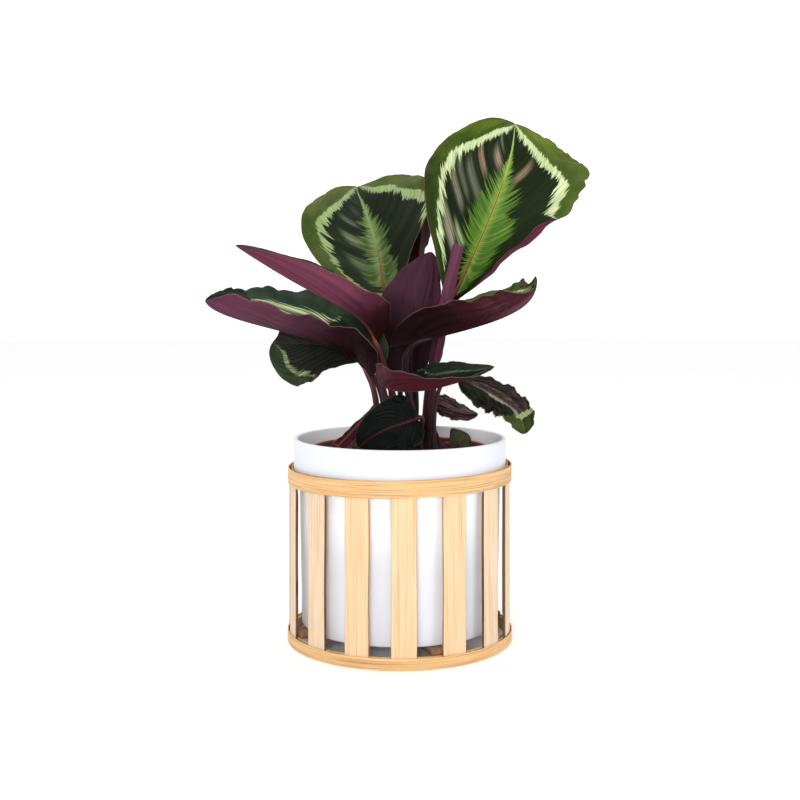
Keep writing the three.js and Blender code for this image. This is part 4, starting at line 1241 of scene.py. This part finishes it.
def make_leaf(name, leaf, seed, stems):
    sides = (("upper", upper_material), ("under", under_material), ("edge", edge_material))
    materials = [make(f"{side}_{name}", leaf, seed) for side, make in sides]
    points, faces, kinds, place, reach = blade_mesh(leaf)
    stem_points, stem_faces, stem_place = stem_mesh(leaf, len(points))
    attributes = {"leaf": np.vstack([place, stem_place]),
                  "reach": np.vstack([reach, np.zeros_like(stem_place)])}
    piece(f"{name}_leaf", np.vstack([points, stem_points]), faces + stem_faces,
          [*materials, stems[leaf["skin"]]], kinds + [3] * len(stem_faces), attributes, [f"leaf_{name}"])


def make_leaves():
    stems = {
        "warm": stem_material("stem_skin", (48, 20, 25), (84, 34, 40), (108, 58, 50), (132, 76, 46)),
        "dark": stem_material("stem_dark", (42, 19, 24), (58, 25, 32), (84, 50, 50), (56, 26, 32)),
        # Stems deep in the plant: a darker copy of the stem colours, as painted shade.
        "deep": stem_material("stem_painted_shade", (36, 17, 21), (30, 14, 19), (56, 32, 35), (28, 13, 17)),
    }
    for number, (name, own) in enumerate(LEAVES.items()):
        make_leaf(name, {**COMMON, **own}, SEED_STEP * (number + 1), stems)


# Floor, light and camera

def make_floor():
    g = Graph("pale_floor", Specular_IOR_Level=0.1)
    place = g.place()[:2]
    colour = g.mix(g.even_noise(place, 0.003), (252, 252, 252), (254, 254, 254))
    mesh = bpy.data.meshes.new("floor")
    corners = [(FLOOR_RADIUS * math.cos(t), FLOOR_RADIUS * math.sin(t), 0.0) for t in turns(96)]
    mesh.from_pydata(corners, [], [tuple(range(len(corners)))])
    mesh.materials.append(g.finish(colour, 0.7 + 0.1 * g.even_noise(place, 0.04)))
    add("floor", mesh)


def add_light(name, place, size, watts):
    data = bpy.data.lights.new(name, "AREA")
    data.shape = "DISK"
    data.size = size
    data.energy = watts
    light = add(name, data)
    light.location = place
    light.rotation_euler = (Vector(LIGHT_AIM) - Vector(place)).to_track_quat("-Z", "Y").to_euler()


def make_light():
    """Bright surroundings behind and above, dimmer ones behind the camera, and three soft lamps."""
    world = bpy.data.worlds.new("studio")
    world.use_nodes = True
    nodes, links = world.node_tree.nodes, world.node_tree.links
    background = nodes["Background"]
    background.inputs["Color"].default_value = (1.0, 1.0, 1.0, 1.0)
    split = nodes.new("ShaderNodeSeparateXYZ")
    fall = nodes.new("ShaderNodeMapRange")
    for key, value in zip(("From Min", "From Max", "To Min", "To Max"), (*SKY_TURN, FRONT_SKY, BACK_SKY)):
        fall.inputs[key].default_value = value
    links.new(nodes.new("ShaderNodeTexCoord").outputs["Generated"], split.inputs["Vector"])
    links.new(split.outputs["Y"], fall.inputs["Value"])
    links.new(fall.outputs["Result"], background.inputs["Strength"])
    bpy.context.scene.world = world
    add_light("front", (-0.2, -1.7, 0.5), 0.6, 12.5)
    add_light("fill", (1.1, -1.1, 0.45), 0.7, 4.5)
    add_light("key", (-0.3, -1.0, 1.6), 0.7, 9)
    bpy.context.scene.view_settings.view_transform = "Standard"


def make_camera():
    data = bpy.data.cameras.new("camera")
    data.sensor_fit = "HORIZONTAL"
    data.sensor_width = 36.0
    data.lens = data.sensor_width * CAMERA_FOCAL / IMAGE_SIZE
    data.clip_start, data.clip_end = 0.05, 20.0
    camera = add("camera", data)
    camera.location = [v * MM for v in CAMERA_PLACE]
    camera.rotation_euler = (math.pi / 2 - CAMERA_PITCH, 0.0, 0.0)
    bpy.context.scene.camera = camera


make_planter()
make_liner()
make_soil()
make_bits()
make_stand()
make_leaves()
make_floor()
make_light()
make_camera()
